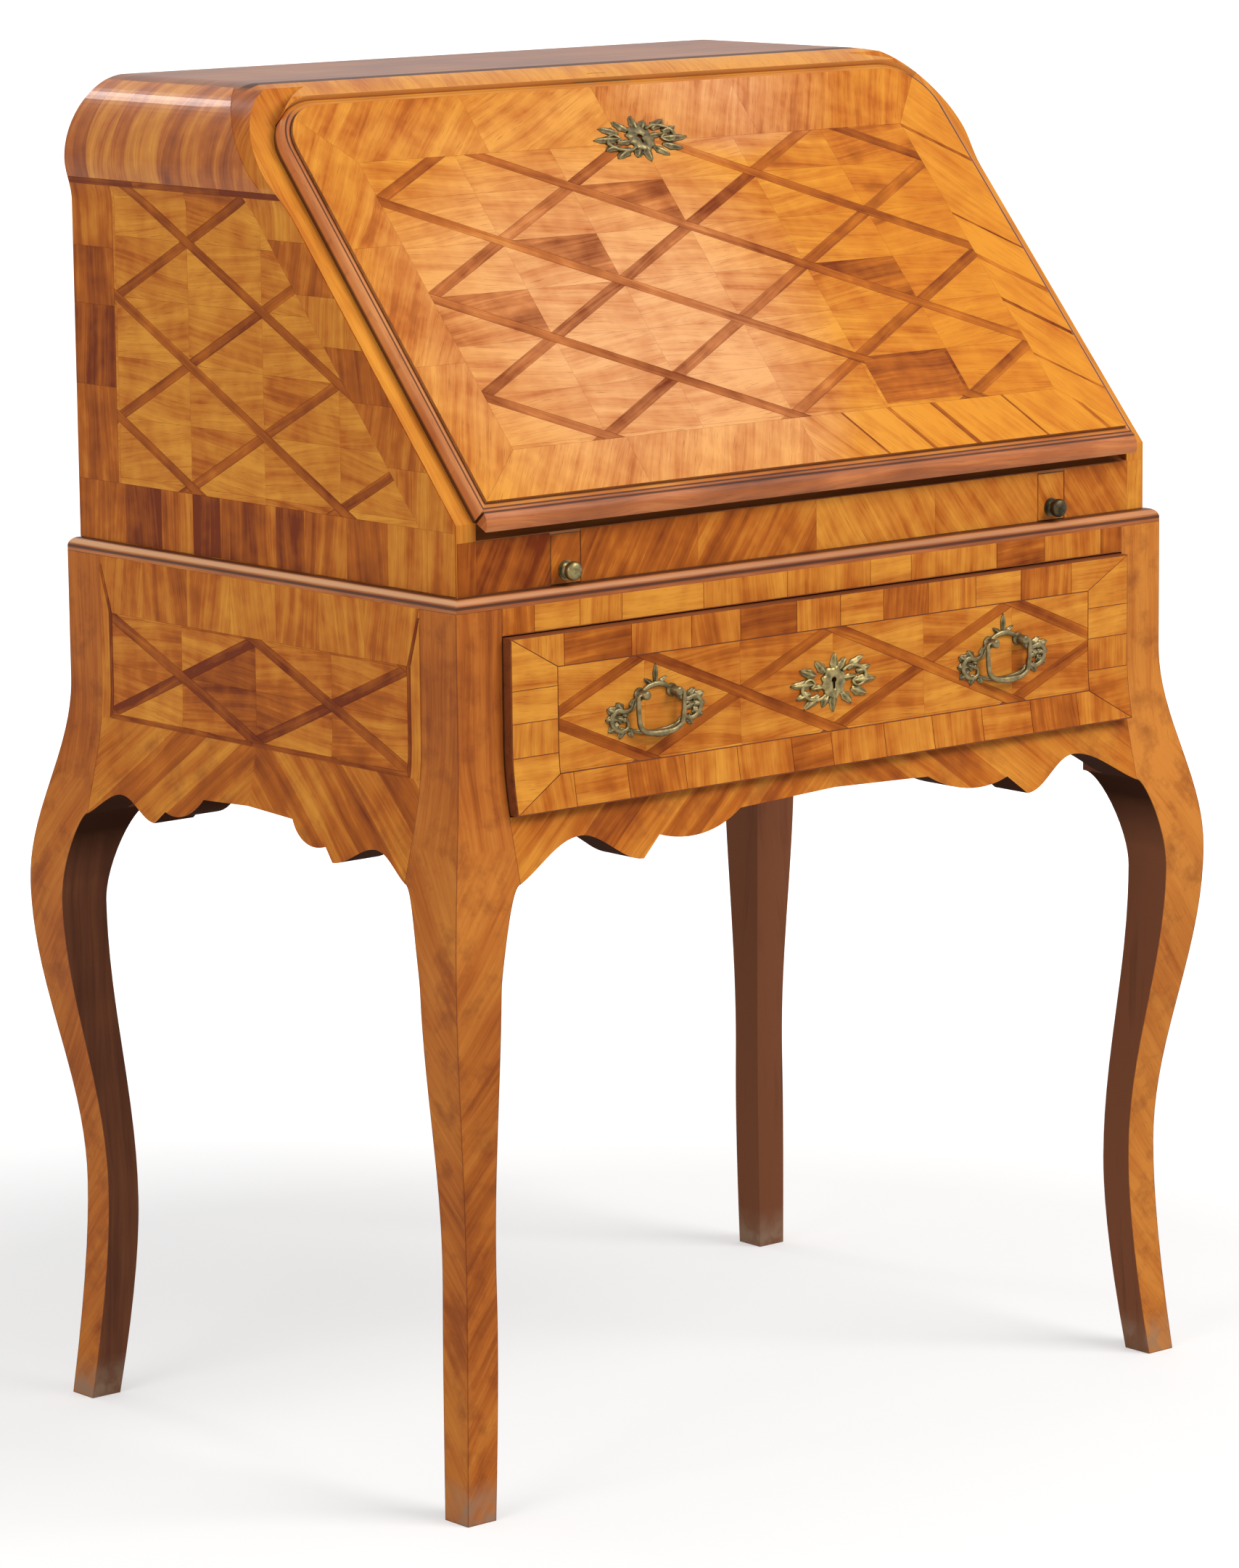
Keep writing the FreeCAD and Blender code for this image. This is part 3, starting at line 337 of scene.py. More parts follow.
GOLD, AMBER, BROWN = srgb(222, 150, 56), srgb(184, 100, 32), srgb(114, 46, 13)
SUNNY_GOLD, SUNNY_AMBER = srgb(218, 142, 44), srgb(194, 110, 32)
# Painted sheen: the rosy pair stands for a soft reflection on the polish
SHEEN_GOLD, SHEEN_AMBER = srgb(230, 170, 116), srgb(200, 126, 76)
TULIPWOOD = (GOLD, AMBER, BROWN)


def veneer_material(name, coat, gloss, coat_rough):
    wood = Finish(name)
    laid = wood.node("UVMap", uv_map="grain").outputs[0]
    note = wood.node("Attribute", attribute_name="piece").outputs["Vector"]
    tone, seed = wood.separate(note)[:2]
    hue = wood.node("Attribute", attribute_name="fade").outputs["Fac"]
    shift = wood.combine(wood.times(seed, 7.3), wood.times(seed, 3.1), wood.times(seed, 23.0))
    tone = wood.plus(tone, wood.cloudy(13.0, -0.12, 0.12))
    tone = wood.plus(tone, wood.cloudy(48.0, -0.11, 0.11, 2.0))
    sunny = wood.between(hue, 0.0, 1.0)
    # Painted sheen: below zero the hue value blends the colour towards the rosy pair
    rosy_sheen = wood.between(wood.times(hue, -1.0), 0.0, 1.0)
    light = wood.blend(rosy_sheen, wood.blend(sunny, GOLD, SUNNY_GOLD), SHEEN_GOLD)
    middle = wood.blend(rosy_sheen, wood.blend(sunny, AMBER, SUNNY_AMBER), SHEEN_AMBER)
    colour, figure = wood.grain(wood.shifted(laid, shift), tone, light, middle, BROWN)[:2]
    rough = wood.ramp(figure, 0.3, 0.7, 0.32, 0.42)
    return wood.polish(colour, figure, rough, coat, gloss=gloss, coat_rough=coat_rough)


veneer = veneer_material("parquetry", 0.03, VENEER_GLOSS, 0.3)


class Sheet:
    # Veneers cut and laid in the plane of one panel, in millimetres
    def __init__(self, outline, hole=None, hue_sheen_at=lambda x, y: 0.0):
        self.outline = outline
        self.hole = hole
        self.hue_sheen_at = hue_sheen_at
        self.pieces = []

    def lay(self, shape, grain, tone, spread=0.06, joint=GLUE_LINE):
        shape = clip_to(shape, self.outline)
        if len(shape) > 2 and area(shape) > SMALLEST_PIECE:
            shape = without_specks(shape)
            shape = clip_to(shape, shape, joint)
        if len(shape) > 2 and area(shape) > SMALLEST_PIECE:
            own = (math.radians(grain), tone + dice.uniform(-spread, spread), dice.random())
            for part in around(shape, self.hole) if self.hole else [shape]:
                self.pieces.append((part,) + own)

    def trellis(self, field, centre, half, strip, cell_tone, strip_tone=0.86):
        # Two families of strips; the lozenges between them are quartered
        length = math.hypot(*half)
        a, b = half[1] / length, half[0] / length
        pitch = 2 * half[0] * half[1] / length
        slope = math.degrees(math.atan2(half[1], half[0]))
        for i in range(-TRELLIS_REACH, TRELLIS_REACH + 1):
            fall = a * centre[0] + b * centre[1] + i * pitch
            self.lay(strip_of(field, a, b, fall - strip, fall + strip), -slope, strip_tone)
            row = strip_of(field, a, b, fall + strip, fall + pitch - strip)
            for j in range(-TRELLIS_REACH, TRELLIS_REACH + 1):
                rise = a * centre[0] - b * centre[1] + j * pitch
                self.lay(strip_of(row, a, -b, rise - strip, rise + strip), slope, strip_tone)
                x, y = (fall + rise + pitch) / (2 * a), (fall - rise) / (2 * b)
                self.lozenge(strip_of(row, a, -b, rise + strip, rise + pitch - strip), x, y, slope, cell_tone)

    def lozenge(self, cell, x, y, slope, cell_tone):
        for right in (False, True):
            half = clip(cell, -1, 0, -x) if right else clip(cell, 1, 0, x)
            for upper in (False, True):
                quarter = clip(half, 0, -1, -y) if upper else clip(half, 0, 1, y)
                lean = slope * 0.25 if right == upper else -slope * 0.25
                self.lay(quarter, lean, cell_tone(x, y, right, upper), 0.09, CLOSE_JOINT)

    def band(self, outline, cuts, grain, tones, spread=0.08, joint=CLOSE_JOINT):
        # A border strip cut across at the given places; cuts are lines a x + b y = c
        for index in range(len(cuts) + 1):
            part = outline
            if index > 0:
                part = clip(part, *(-value for value in cuts[index - 1]))
            if index < len(cuts):
                part = clip(part, *cuts[index])
            if part:
                lean = grain[index % len(grain)] + dice.uniform(-4, 4)
                self.lay(part, lean, tones[index % len(tones)], spread, joint)

    def turn_over(self):
        # The same veneers for the other side of the object
        self.pieces = [(mirrored(shape), -grain, tone, seed) for shape, grain, tone, seed in self.pieces]

    def build(self, name, place, body, step=None, finish=veneer):
        # place(x, y) gives the point on the panel in metres; step slices pieces laid on a curve
        verts, faces, grains, notes, hue_sheen_values = [], [], [], [], []
        for shape, grain, tone, seed in self.pieces:
            cos, sin = math.cos(grain), math.sin(grain)
            seen = {}
            for part in slices(shape, step) if step else [shape]:
                loop = {}
                for x, y in part:
                    key = (round(x, 3), round(y, 3))
                    if key not in seen:
                        seen[key] = len(verts)
                        verts.append(place(x, y))
                    loop[seen[key]] = (x, y)
                if len(loop) > 2:
                    faces.append(list(loop))
                    notes.append((tone, seed, 0.0))
                    grains += [metres(x * cos + y * sin, y * cos - x * sin) for x, y in loop.values()]
                    hue_sheen_values += [self.hue_sheen_at(x, y) for x, y in loop.values()]
        made = new_piece(name, verts, faces, finish)
        note = made.data.attributes.new("piece", "FLOAT_VECTOR", "FACE")
        for face, value in zip(note.data, notes):
            face.vector = value
        fade = made.data.attributes.new("fade", "FLOAT", "CORNER")
        for corner, value in zip(fade.data, hue_sheen_values):
            corner.value = value
        for corner, value in zip(made.data.uv_layers.new(name="grain").data, grains):
            corner.uv = value
        thick = made.modifiers.new("veneer", "SOLIDIFY")
        thick.thickness = VENEER_THICK
        thick.offset = -1.0
        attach(made, body)


SKIRT_SLANT = math.radians(38)
SKIRT_LEAF = 0.026


def skirt_material():
    wood = Finish("skirt_veneer")
    x, y, z = wood.separate(wood.place)
    nx, ny, nz = wood.separate(wood.normal())
    across = wood.choose(wood.sideways(nx, ny), x, y)
    half = wood.maths("SIGN", across)
    along, over = slant(wood, wood.size(across), z, SKIRT_SLANT)
    leaf = wood.plus(wood.maths("FLOOR", wood.maths("DIVIDE", over, SKIRT_LEAF)), half)
    chance = wood.node("TexWhiteNoise", {"W": leaf}, noise_dimensions="1D").outputs["Value"]
    tone = wood.plus(wood.cloudy(11.0, 0.25, 0.7), wood.between(chance, -0.16, 0.16))
    colour, figure = wood.grain(wood.combine(along, over, half), tone, *TULIPWOOD)[:2]
    below = underside(wood, nz)
    # Painted shade: faces that look down are darkened
    colour = wood.blend(below, stained(wood, colour, 0.4), UNDERSIDE_PAINTED_SHADE)
    rough, coat = wood.between(below, 0.38, 0.95), wood.between(below, 0.03, 0.0)
    return wood.polish(colour, figure, rough, coat, gloss=VENEER_GLOSS)


dress(skirt_material(), "side_panel_left", "side_panel_right", "front_apron")

SWELL_TOP, KNEE_HEIGHT, KNEE_REACH, EASE = 572.0, 411.0, 25.6, 0.36
PANEL_FACE, PANEL_STEP = 355.45, 8.0
PANEL_EDGE, PANEL_FOOT, PANEL_HEAD = 196, 546, 670.6
FIELD_EDGE, FIELD_FOOT, FIELD_HEAD = 181, 550, 627.5
PANEL_LOZENGE, PANEL_CROSSING, PANEL_STRIP = (92, 38), (-92, 588), 4.2
STRING_WIDE, STRING_GAP, SPLAY_TIP, SPLAY_HEAD = 4, 0.4, 194, 664


def s_curve(height, top, foot):
    # Share of the way out at this height, on a curve that leaves the top and reaches the foot upright
    low, high = 0.0, 1.0
    pull = (top - foot) * EASE
    for step in range(30):
        t = (low + high) / 2
        z = (top * (1 - t) ** 3 + 3 * (top - pull) * t * (1 - t) ** 2
             + 3 * (foot + pull) * t * t * (1 - t) + foot * t ** 3)
        low, high = (t, high) if z > height else (low, t)
    return 3 * t * t * (1 - t) + t ** 3


def swell(height):
    # How far the face of the base stands out at this height
    return 0.0 if height >= SWELL_TOP else KNEE_REACH * s_curve(height, SWELL_TOP, KNEE_HEIGHT)


def low_side_tone(x, y, right, upper):
    # The lozenge in the middle is darker, and its upper left quarter darkest
    central = abs(x) < 20
    return 0.48 + (0.2 if central and upper and not right else 0.0) + (0.05 if central else 0.0)


def lower_side():
    sheet = Sheet(rectangle(-PANEL_EDGE, PANEL_EDGE, PANEL_FOOT, PANEL_HEAD))
    field = rectangle(-FIELD_EDGE, FIELD_EDGE, FIELD_FOOT, FIELD_HEAD)
    sheet.trellis(field, PANEL_CROSSING, PANEL_LOZENGE, PANEL_STRIP, low_side_tone)
    head = [(-PANEL_EDGE, PANEL_HEAD), (-FIELD_EDGE, FIELD_HEAD),
            (FIELD_EDGE, FIELD_HEAD), (PANEL_EDGE, PANEL_HEAD)]
    sheet.band(head, upright_cuts(-140, -84, -30, 26, 78, 132), (84, 96), (0.42, 0.5, 0.36))
    string_head = FIELD_FOOT - STRING_GAP
    foot = [(-184, PANEL_FOOT), (184, PANEL_FOOT), (FIELD_EDGE, string_head), (-FIELD_EDGE, string_head)]
    sheet.band(foot, upright_cuts(-4), (0, 1), (0.9, 0.8))
    inner, outer, bend = FIELD_EDGE + STRING_GAP, FIELD_EDGE + STRING_WIDE, FIELD_HEAD + 0.5
    upright = [(-outer, PANEL_FOOT), (-inner, string_head), (-inner, FIELD_HEAD), (-outer, bend)]
    splayed = [(-outer, bend), (-inner, FIELD_HEAD), (-SPLAY_TIP, SPLAY_HEAD), (-PANEL_EDGE, SPLAY_HEAD)]
    edge = [(-PANEL_EDGE, PANEL_FOOT), (-outer - 0.2, PANEL_FOOT), (-outer - 0.2, bend), (-PANEL_EDGE, 660)]
    for turn in (list, mirrored):
        for shape, grain, tone in ((upright, 90, 0.86), (splayed, 70, 0.86), (edge, 90, 0.4)):
            sheet.lay(turn(shape), grain, tone)
    return sheet


for hand, sign in HANDS:
    lower_side().build("lower_side_veneer_" + hand,
                       lambda x, y, s=sign: metres(s * (PANEL_FACE + swell(y)), s * x, y),
                       "carcase", PANEL_STEP)

# Inner carcase
# Plain sawn oak and pine that is not meant to be seen: backs, dust board, runners, guides and kickers,
# glued and nailed between the legs. Dry and unpolished, darkened by age.


def bare_wood(name, light, dark, axis, rough=0.62):
    # Straight-grained wood with its grain along the object's x or y axis
    wood = Finish(name)
    x, y, z = wood.separate(wood.place)
    laid = wood.combine(x, y, z) if axis == "x" else wood.combine(y, x, z)
    tone = wood.cloudy(7.0, 0.2, 0.62)
    colour, figure = wood.grain(laid, tone, light, wood.blend(0.5, light, dark), dark)[:2]
    return wood.polish(colour, figure, rough, 0.0, 0.0003)


OAK, OLD_OAK = srgb(168, 122, 76), srgb(84, 52, 32)
oak_across = bare_wood("carcase_oak_across", OAK, OLD_OAK, "x")
oak_deep = bare_wood("carcase_oak_deep", OAK, OLD_OAK, "y")
dress(oak_across, "base_back", "dust_board", "drawer_kickers", "case_back")
dress(oak_deep, "drawer_runners", "drawer_guides", "loper_guides")

back_boards = bare_wood("back_boards", srgb(150, 108, 68), srgb(70, 44, 28), "x", 0.7)
PLANK_GAP, PLANK_SUNK, PLANK_BEVEL = 0.7, 0.3, 0.9


def plank_back(name, half, edges, depth):
    # The back is closed with wide boards, laid lengthwise with a gap left for them to move
    verts, faces = [], []
    for bottom, top in zip(edges, edges[1:]):
        start = len(verts)
        for inset, y in ((0.0, depth - PLANK_SUNK), (PLANK_BEVEL, depth + PLANK_BEVEL)):
            margin = PLANK_GAP + inset
            ring = rectangle(inset - half, half - inset, bottom + margin, top - margin)
            verts += [metres(x, y, z) for x, z in ring]
        faces += [(start, start + 1, start + 2, start + 3), (start + 7, start + 6, start + 5, start + 4)]
        for k in range(4):
            after = (k + 1) % 4
            faces.append((start + after, start + k, start + 4 + k, start + 4 + after))
    made = new_piece(name, verts, faces, back_boards)
    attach(made, "carcase")


CASE_PLANK_HALF, CASE_PLANK_EDGES, CASE_PLANK_DEPTH = 327.4, (681.6, 764, 856, 939.6), 233.0
BASE_PLANK_HALF, BASE_PLANK_EDGES, BASE_PLANK_DEPTH = 312.4, (500.6, 584, 670.6), 238.0
plank_back("case_back_planks", CASE_PLANK_HALF, CASE_PLANK_EDGES, CASE_PLANK_DEPTH)
plank_back("base_back_planks", BASE_PLANK_HALF, BASE_PLANK_EDGES, BASE_PLANK_DEPTH)

# Waist moulding and drawer rail
# A rounded moulding covers the joint between base and desk. Its fruitwood has a painted highlight along the
# bead, stronger on the sides, and painted shade in the quirks.
# The rail below it is cross-banded in short blocks.

MOULDING_WOODS = (srgb(208, 134, 74), srgb(164, 92, 46), srgb(100, 48, 24))
# Painted shade for the quirks and a painted highlight along the bead
QUIRK_PAINTED_SHADE, PAINTED_HIGHLIGHT = srgb(58, 28, 16), srgb(224, 170, 122)
QUIRK_SHADE_STRENGTH = 0.85
LOWER_QUIRK, UPPER_QUIRK, HIGHLIGHT_LINE, MOULDING_TOP = 0.6744, (0.6798, 0.6806), 0.6783, 0.69


def drawn_line(wood, value, middle, outer, inner, strength=1.0):
    # A line where value is near middle, soft from outer to inner
    return wood.ramp(wood.size(wood.minus(value, middle)), outer, inner, 0.0, strength)


def moulding_material():
    wood = Finish("moulded_fruitwood")
    x, y, z = wood.separate(wood.place)
    nx, ny = wood.separate(wood.normal())[:2]
    on_side = wood.sideways(nx, ny)
    along, across = wood.choose(on_side, x, y), wood.choose(on_side, y, x)
    laid = wood.combine(along, wood.plus(across, z), 0.3)
    colour, figure = wood.grain(laid, wood.cloudy(8.0, 0.3, 0.65), *MOULDING_WOODS)[:2]
    # Painted shade: dark lines in the quirks below and above the bead
    lower_quirk = drawn_line(wood, z, LOWER_QUIRK, 0.0016, 0.0007, QUIRK_SHADE_STRENGTH)
    upper_quirk = wood.ramp(z, *UPPER_QUIRK, 0.0, QUIRK_SHADE_STRENGTH)
    upper_quirk = wood.times(upper_quirk, wood.maths("LESS_THAN", z, MOULDING_TOP))
    colour = wood.blend(wood.larger(lower_quirk, upper_quirk), colour, QUIRK_PAINTED_SHADE)
    # Painted highlight along the bead, stronger on the sides than at the front
    painted_highlight = wood.times(wood.between(on_side, 0.35, 0.9), drawn_line(wood, z, HIGHLIGHT_LINE, 0.0021, 0.0009))
    return wood.polish(wood.blend(painted_highlight, colour, PAINTED_HIGHLIGHT), figure, 0.36, 0.04)


dress(moulding_material(), "waist_moulding", "drawer_rail")

RAIL_FACE, RAIL_EDGE, RAIL_FOOT, RAIL_HEAD = 238.45, 312.6, 651, 670.8
rail = Sheet(rectangle(-RAIL_EDGE, RAIL_EDGE, RAIL_FOOT, RAIL_HEAD))
rail.band(rail.outline, upright_cuts(-283, -240, -200, -121, -38, 46, 88, 178, 229, 290), (90, 3, 88, 2, 92),
          (0.62, 0.3, 0.34, 0.26, 0.36, 0.42, 0.30, 0.34, 0.6, 0.4), joint=OPEN_JOINT)
rail.build("rail_veneer", lambda x, y: metres(x, -RAIL_FACE, y), "carcase")

# Drawer
# An oak box behind a front that follows the swell of the base. The front is laid with three lozenges,
# a strip of short blocks runs round it, and its edges show bare dark wood.

DRAWER_FACE = 246.45
DRAWER_EDGE, DRAWER_FOOT, DRAWER_HEAD = 311.2, 521.2, 648.8
BORDER_EDGE, BORDER_FOOT, BORDER_HEAD = 268, 546.5, 625
DRAWER_KEYHOLE = (-3.4, 3.4, 576.5, 590)
DRAWER_LOZENGE, DRAWER_CROSSING, DRAWER_STRIP = (93, 38.5), (-93, 587), 4.2
BORDER_GAP = 0.5

dress(bare_wood("drawer_edge_wood", srgb(140, 78, 42), srgb(74, 34, 18), "x", 0.4), "drawer_front")
dress(oak_deep, "drawer_sides", "drawer_bottom")
dress(oak_across, "drawer_back")


def drawer_tone(x, y, right, upper):
    return (0.24 if x < -120 else 0.32) + (0.04 if not upper else 0.0) + (0.06 if right else 0.0)


def drawer_sheet():
    sheet = Sheet(rectangle(-DRAWER_EDGE, DRAWER_EDGE, DRAWER_FOOT, DRAWER_HEAD), DRAWER_KEYHOLE)
    field = rectangle(-BORDER_EDGE, BORDER_EDGE, BORDER_FOOT + BORDER_GAP, BORDER_HEAD - BORDER_GAP)
    sheet.trellis(field, DRAWER_CROSSING, DRAWER_LOZENGE, DRAWER_STRIP, drawer_tone, 0.7)
    head = [(-DRAWER_EDGE, DRAWER_HEAD), (-BORDER_EDGE, BORDER_HEAD),
            (BORDER_EDGE, BORDER_HEAD), (DRAWER_EDGE, DRAWER_HEAD)]
    sheet.band(head, upright_cuts(-262, -198, -140, -92, -36, 8, 52, 98, 148, 196, 250), (90, 4, 88, 96, 2),
               (0.40, 0.62, 0.36, 0.5, 0.7, 0.42, 0.34, 0.66, 0.38), joint=OPEN_JOINT)
    foot = [(-DRAWER_EDGE, DRAWER_FOOT), (DRAWER_EDGE, DRAWER_FOOT),
            (BORDER_EDGE, BORDER_FOOT), (-BORDER_EDGE, BORDER_FOOT)]
    sheet.band(foot, upright_cuts(-256, -205, -150, -98, -44, -4, 50, 100, 152, 204, 254), (92, 3, 90, 86),
               (0.44, 0.34, 0.6, 0.40, 0.30, 0.66, 0.5, 0.36), joint=OPEN_JOINT)
    inner = -BORDER_EDGE - BORDER_GAP
    edge = [(-DRAWER_EDGE, DRAWER_HEAD), (-DRAWER_EDGE, DRAWER_FOOT),
            (inner, BORDER_FOOT), (inner, BORDER_HEAD)]
    for shape, tones in ((edge, (0.22, 0.32, 0.18)), (mirrored(edge), (0.36, 0.46, 0.3))):
        sheet.band(shape, level_cuts(562, 587, 611), (0, 88, 2), tones, joint=OPEN_JOINT)
    return sheet


drawer_sheet().build("drawer_veneer", lambda x, y: metres(x, -(DRAWER_FACE + swell(y)), y),
                     "drawer", PANEL_STEP)

# Desk case
# Two boards and a coopered top whose shoulders are rounded over. The sides carry a trellis like the flap's
# over a dark kingwood band; the shoulders are veneered crosswise and the flat top is dull, painted greyer
# for wear and for a reflection of the pale surround.

SLOPE_FOOT, SLOPE_LOW, SLOPE_LEAN = 228.4, 733.0, 265.4 / 300
SLOPE_SIN, SLOPE_COS = 1 / math.hypot(1, SLOPE_LEAN), SLOPE_LEAN / math.hypot(1, SLOPE_LEAN)
CASE_FACE, CASE_STEP = 346.45, 6.0
CASE_BACK, CASE_FRONT, CASE_FOOT, SEAM = -232.4, 227.4, 681.5, 958.0
BAND_HEAD, STILE_FRONT, SLOPE_BORDER, SEAM_STRING = 727, -180, 34, 4.5
CASE_LOZENGE, CASE_CROSSING, CASE_STRIP = (91, 46), (-86, 732), 3.8
TRIM, SEAM_GAP = 0.6, 0.2
SHOULDER_FOOT, SHOULDER_WIDE, SHOULDER_REACH = 940, 972, 6.0
SHOULDER_EDGE, CROWN_EDGE, CROWN_HEIGHT = 352.4, 294.0, 1033.35


def bulge(height):
    # How far the shoulder stands out over the case side
    if height <= SHOULDER_FOOT:
        return 0.0
    return SHOULDER_REACH * (1 - s_curve(min(height, SHOULDER_WIDE), SHOULDER_WIDE, SHOULDER_FOOT))


def upper_tone(x, y, right, upper):
    return 0.28 + (0.12 if not upper and right else 0.0)


def case_sheet():
    slope_head = CASE_FRONT - (SEAM - SLOPE_LOW) * SLOPE_LEAN
    sheet = Sheet([(CASE_BACK, CASE_FOOT), (CASE_FRONT, CASE_FOOT), (CASE_FRONT, SLOPE_LOW),
                   (slope_head, SEAM), (CASE_BACK, SEAM)])
    over_front, field_head = CASE_FRONT + TRIM, SEAM - SEAM_STRING - SEAM_GAP
    slope = SLOPE_SIN * CASE_FRONT + SLOPE_COS * SLOPE_LOW
    foot = rectangle(CASE_BACK, over_front, CASE_FOOT, BAND_HEAD)
    cuts = upright_cuts(-196, -172, -126, -86, -52, -40, -6, 17, 51, 102, 150, 196)
    sheet.band(foot, cuts, (90, 84, 96, 90),
               (0.6, 0.64, 0.88, 0.52, 0.84, 0.56, 0.76, 0.56, 0.88, 0.52, 0.64, 0.5, 0.46))
    stile = rectangle(CASE_BACK, STILE_FRONT, BAND_HEAD, field_head)
    sheet.band(stile, level_cuts(800, 862, 906), (90, 86, 92), (0.54, 0.68, 0.6, 0.5))
    field = rectangle(STILE_FRONT, over_front, BAND_HEAD, field_head)
    border = strip_of(field, SLOPE_SIN, SLOPE_COS, slope - SLOPE_BORDER, slope)
    sheet.band(border, level_cuts(768, 812, 850, 886, 924), (90, 78, 96), (0.36, 0.56, 0.62, 0.42, 0.54, 0.4))
    string = clip(rectangle(CASE_BACK, over_front, SEAM - SEAM_STRING, SEAM), SLOPE_SIN, SLOPE_COS, slope)
    sheet.band(string, upright_cuts(-150, -40), (0, 2), (0.95, 0.85))
    field = clip(field, SLOPE_SIN, SLOPE_COS, slope - SLOPE_BORDER)
    sheet.trellis(field, CASE_CROSSING, CASE_LOZENGE, CASE_STRIP, upper_tone, 0.72)
    return sheet


for hand, sign in HANDS:
    side = case_sheet()
    if sign > 0:
        side.turn_over()
    side.build("case_side_veneer_" + hand, lambda x, y, s=sign: metres(s * (CASE_FACE + bulge(y)), s * x, y),
               "carcase", CASE_STEP)


def shoulder_profile():
    # Points along the rounded shoulder from the seam to the flat of the top, with the length run so far
    heights = (SEAM + 0.3, *range(960, SHOULDER_WIDE + 1, 2))
    points = [(SHOULDER_EDGE - SHOULDER_REACH + bulge(z), z) for z in heights]
    across = (SHOULDER_EDGE, SHOULDER_EDGE, (SHOULDER_EDGE + CROWN_EDGE) / 2, CROWN_EDGE)
    up = (SHOULDER_WIDE, (SHOULDER_WIDE + CROWN_HEIGHT) / 2, CROWN_HEIGHT, CROWN_HEIGHT)
    for step in range(1, 19):
        t = step / 18
        shares = ((1 - t) ** 3, 3 * t * (1 - t) ** 2, 3 * t * t * (1 - t), t ** 3)
        points.append((sum(a * b for a, b in zip(shares, across)), sum(a * b for a, b in zip(shares, up))))
    runs = [0.0]
    for p, q in zip(points, points[1:]):
        runs.append(runs[-1] + math.dist(p, q))
    return points, runs


profile, profile_runs = shoulder_profile()
SHOULDER_STEP, FLAT_SHORT = 4.0, 18.0


def on_shoulder(run):
    last = len(profile_runs) - 2
    k = next((k for k in range(last) if run <= profile_runs[k + 1]), last)
    share = (run - profile_runs[k]) / (profile_runs[k + 1] - profile_runs[k])
    (x0, z0), (x1, z1) = profile[k], profile[k + 1]
    return x0 + share * (x1 - x0), z0 + share * (z1 - z0)


def shoulder_place(x, run, sign):
    across, up = on_shoulder(run)
    return metres(sign * across, sign * x, up)


def shoulder_sheet():
    top = profile_runs[-1] - FLAT_SHORT
    sheet = Sheet([(CASE_BACK, 0), (12, 0), (-70, top), (CASE_BACK, top)])
    cuts = [(1, 0.05, x) for x in (-204, -171, -140, -112, -84, -46, -20)]
    sheet.band(sheet.outline, cuts, (90, 87, 92), (0.6, 0.42, 0.5, 0.36, 0.58, 0.44, 0.52, 0.4), 0.06)
    return sheet


shoulder_finish = veneer_material("polished_shoulder", 0.26, 0.09, 0.14)
for hand, sign in HANDS:
    shoulder = shoulder_sheet()
    if sign > 0:
        shoulder.turn_over()
    shoulder.build("shoulder_veneer_" + hand, lambda x, y, s=sign: shoulder_place(x, y, s), "carcase",
                   SHOULDER_STEP, shoulder_finish)

# The grey for the flat top stands for wear and for painted reflection; the gold for faces that look down is
# painted light
TOP_WEAR_AND_REFLECTION_GREY, TOP_ARRIS, CASE_UNDER_PAINTED_LIGHT = srgb(112, 92, 82), srgb(74, 40, 26), srgb(238, 178, 100)
NOSE_START, NOSE_WHOLE, ARRIS_PLACE = 0.0635, 0.0625, 0.058


def case_material():
    # Edges and shoulders: the grain follows each board, the flat top is duller and painted greyer for wear
    # and for a reflection of the pale surround, and faces that look down are painted light
    wood = Finish("case_veneer")
    x, y, z = wood.separate(wood.place)
    nx, ny, nz = wood.separate(wood.normal())
    up_slope = wood.plus(wood.times(y, SLOPE_COS), wood.times(z, SLOPE_SIN))
    tone = wood.cloudy(9.0, 0.24, 0.6)
    on_edge = wood.grain(wood.combine(up_slope, x, 0.4), wood.plus(tone, -0.12), *TULIPWOOD)
    on_side = wood.grain(wood.combine(z, y, wood.times(x, 0.2)), wood.plus(tone, 0.12), *TULIPWOOD)
    on_top = wood.grain(wood.combine(x, y, 1.3), wood.plus(tone, 0.2), *TULIPWOOD)
    along, across = wood.plus(wood.times(x, 0.5), y), wood.minus(x, wood.times(y, 0.5))
    on_nose = wood.grain(wood.combine(along, across, 2.1), wood.plus(tone, -0.2), *TULIPWOOD)
    nose = wood.ramp(y, NOSE_START, NOSE_WHOLE)
    # Painted reflection, with wear: the flat top is blended towards grey
    top = wood.blend(nose, wood.blend(0.55, on_top.colour, TOP_WEAR_AND_REFLECTION_GREY), on_nose.colour)
    top = wood.blend(drawn_line(wood, y, ARRIS_PLACE, 0.0075, 0.0055), top, TOP_ARRIS)
    side = wood.blend(wood.ramp(wood.size(nx), 0.3, 0.4), on_edge.colour, on_side.colour)
    topward = wood.ramp(nz, 0.9, 0.95)
    # Painted light: faces that look down are given a bright gold, as if lit
    colour = wood.blend(wood.ramp(nz, -0.2, -0.4), wood.blend(topward, side, top), CASE_UNDER_PAINTED_LIGHT)
    flat = wood.times(topward, wood.minus(1.0, nose))
    rough, coat = wood.between(topward, 0.34, 0.42), wood.between(flat, 0.02, 0.2)
    return wood.polish(colour, on_edge.figure, rough, coat, gloss=VENEER_GLOSS)


dress(case_material(), "case_side_left", "case_side_right", "case_top")

# Frieze, writing bed and lopers
# The frieze under the flap is laid slantwise, in a chevron about the middle. The two lopers slide out
# through it on guides to carry the open flap, and their ends carry the same veneer, so as not to show.

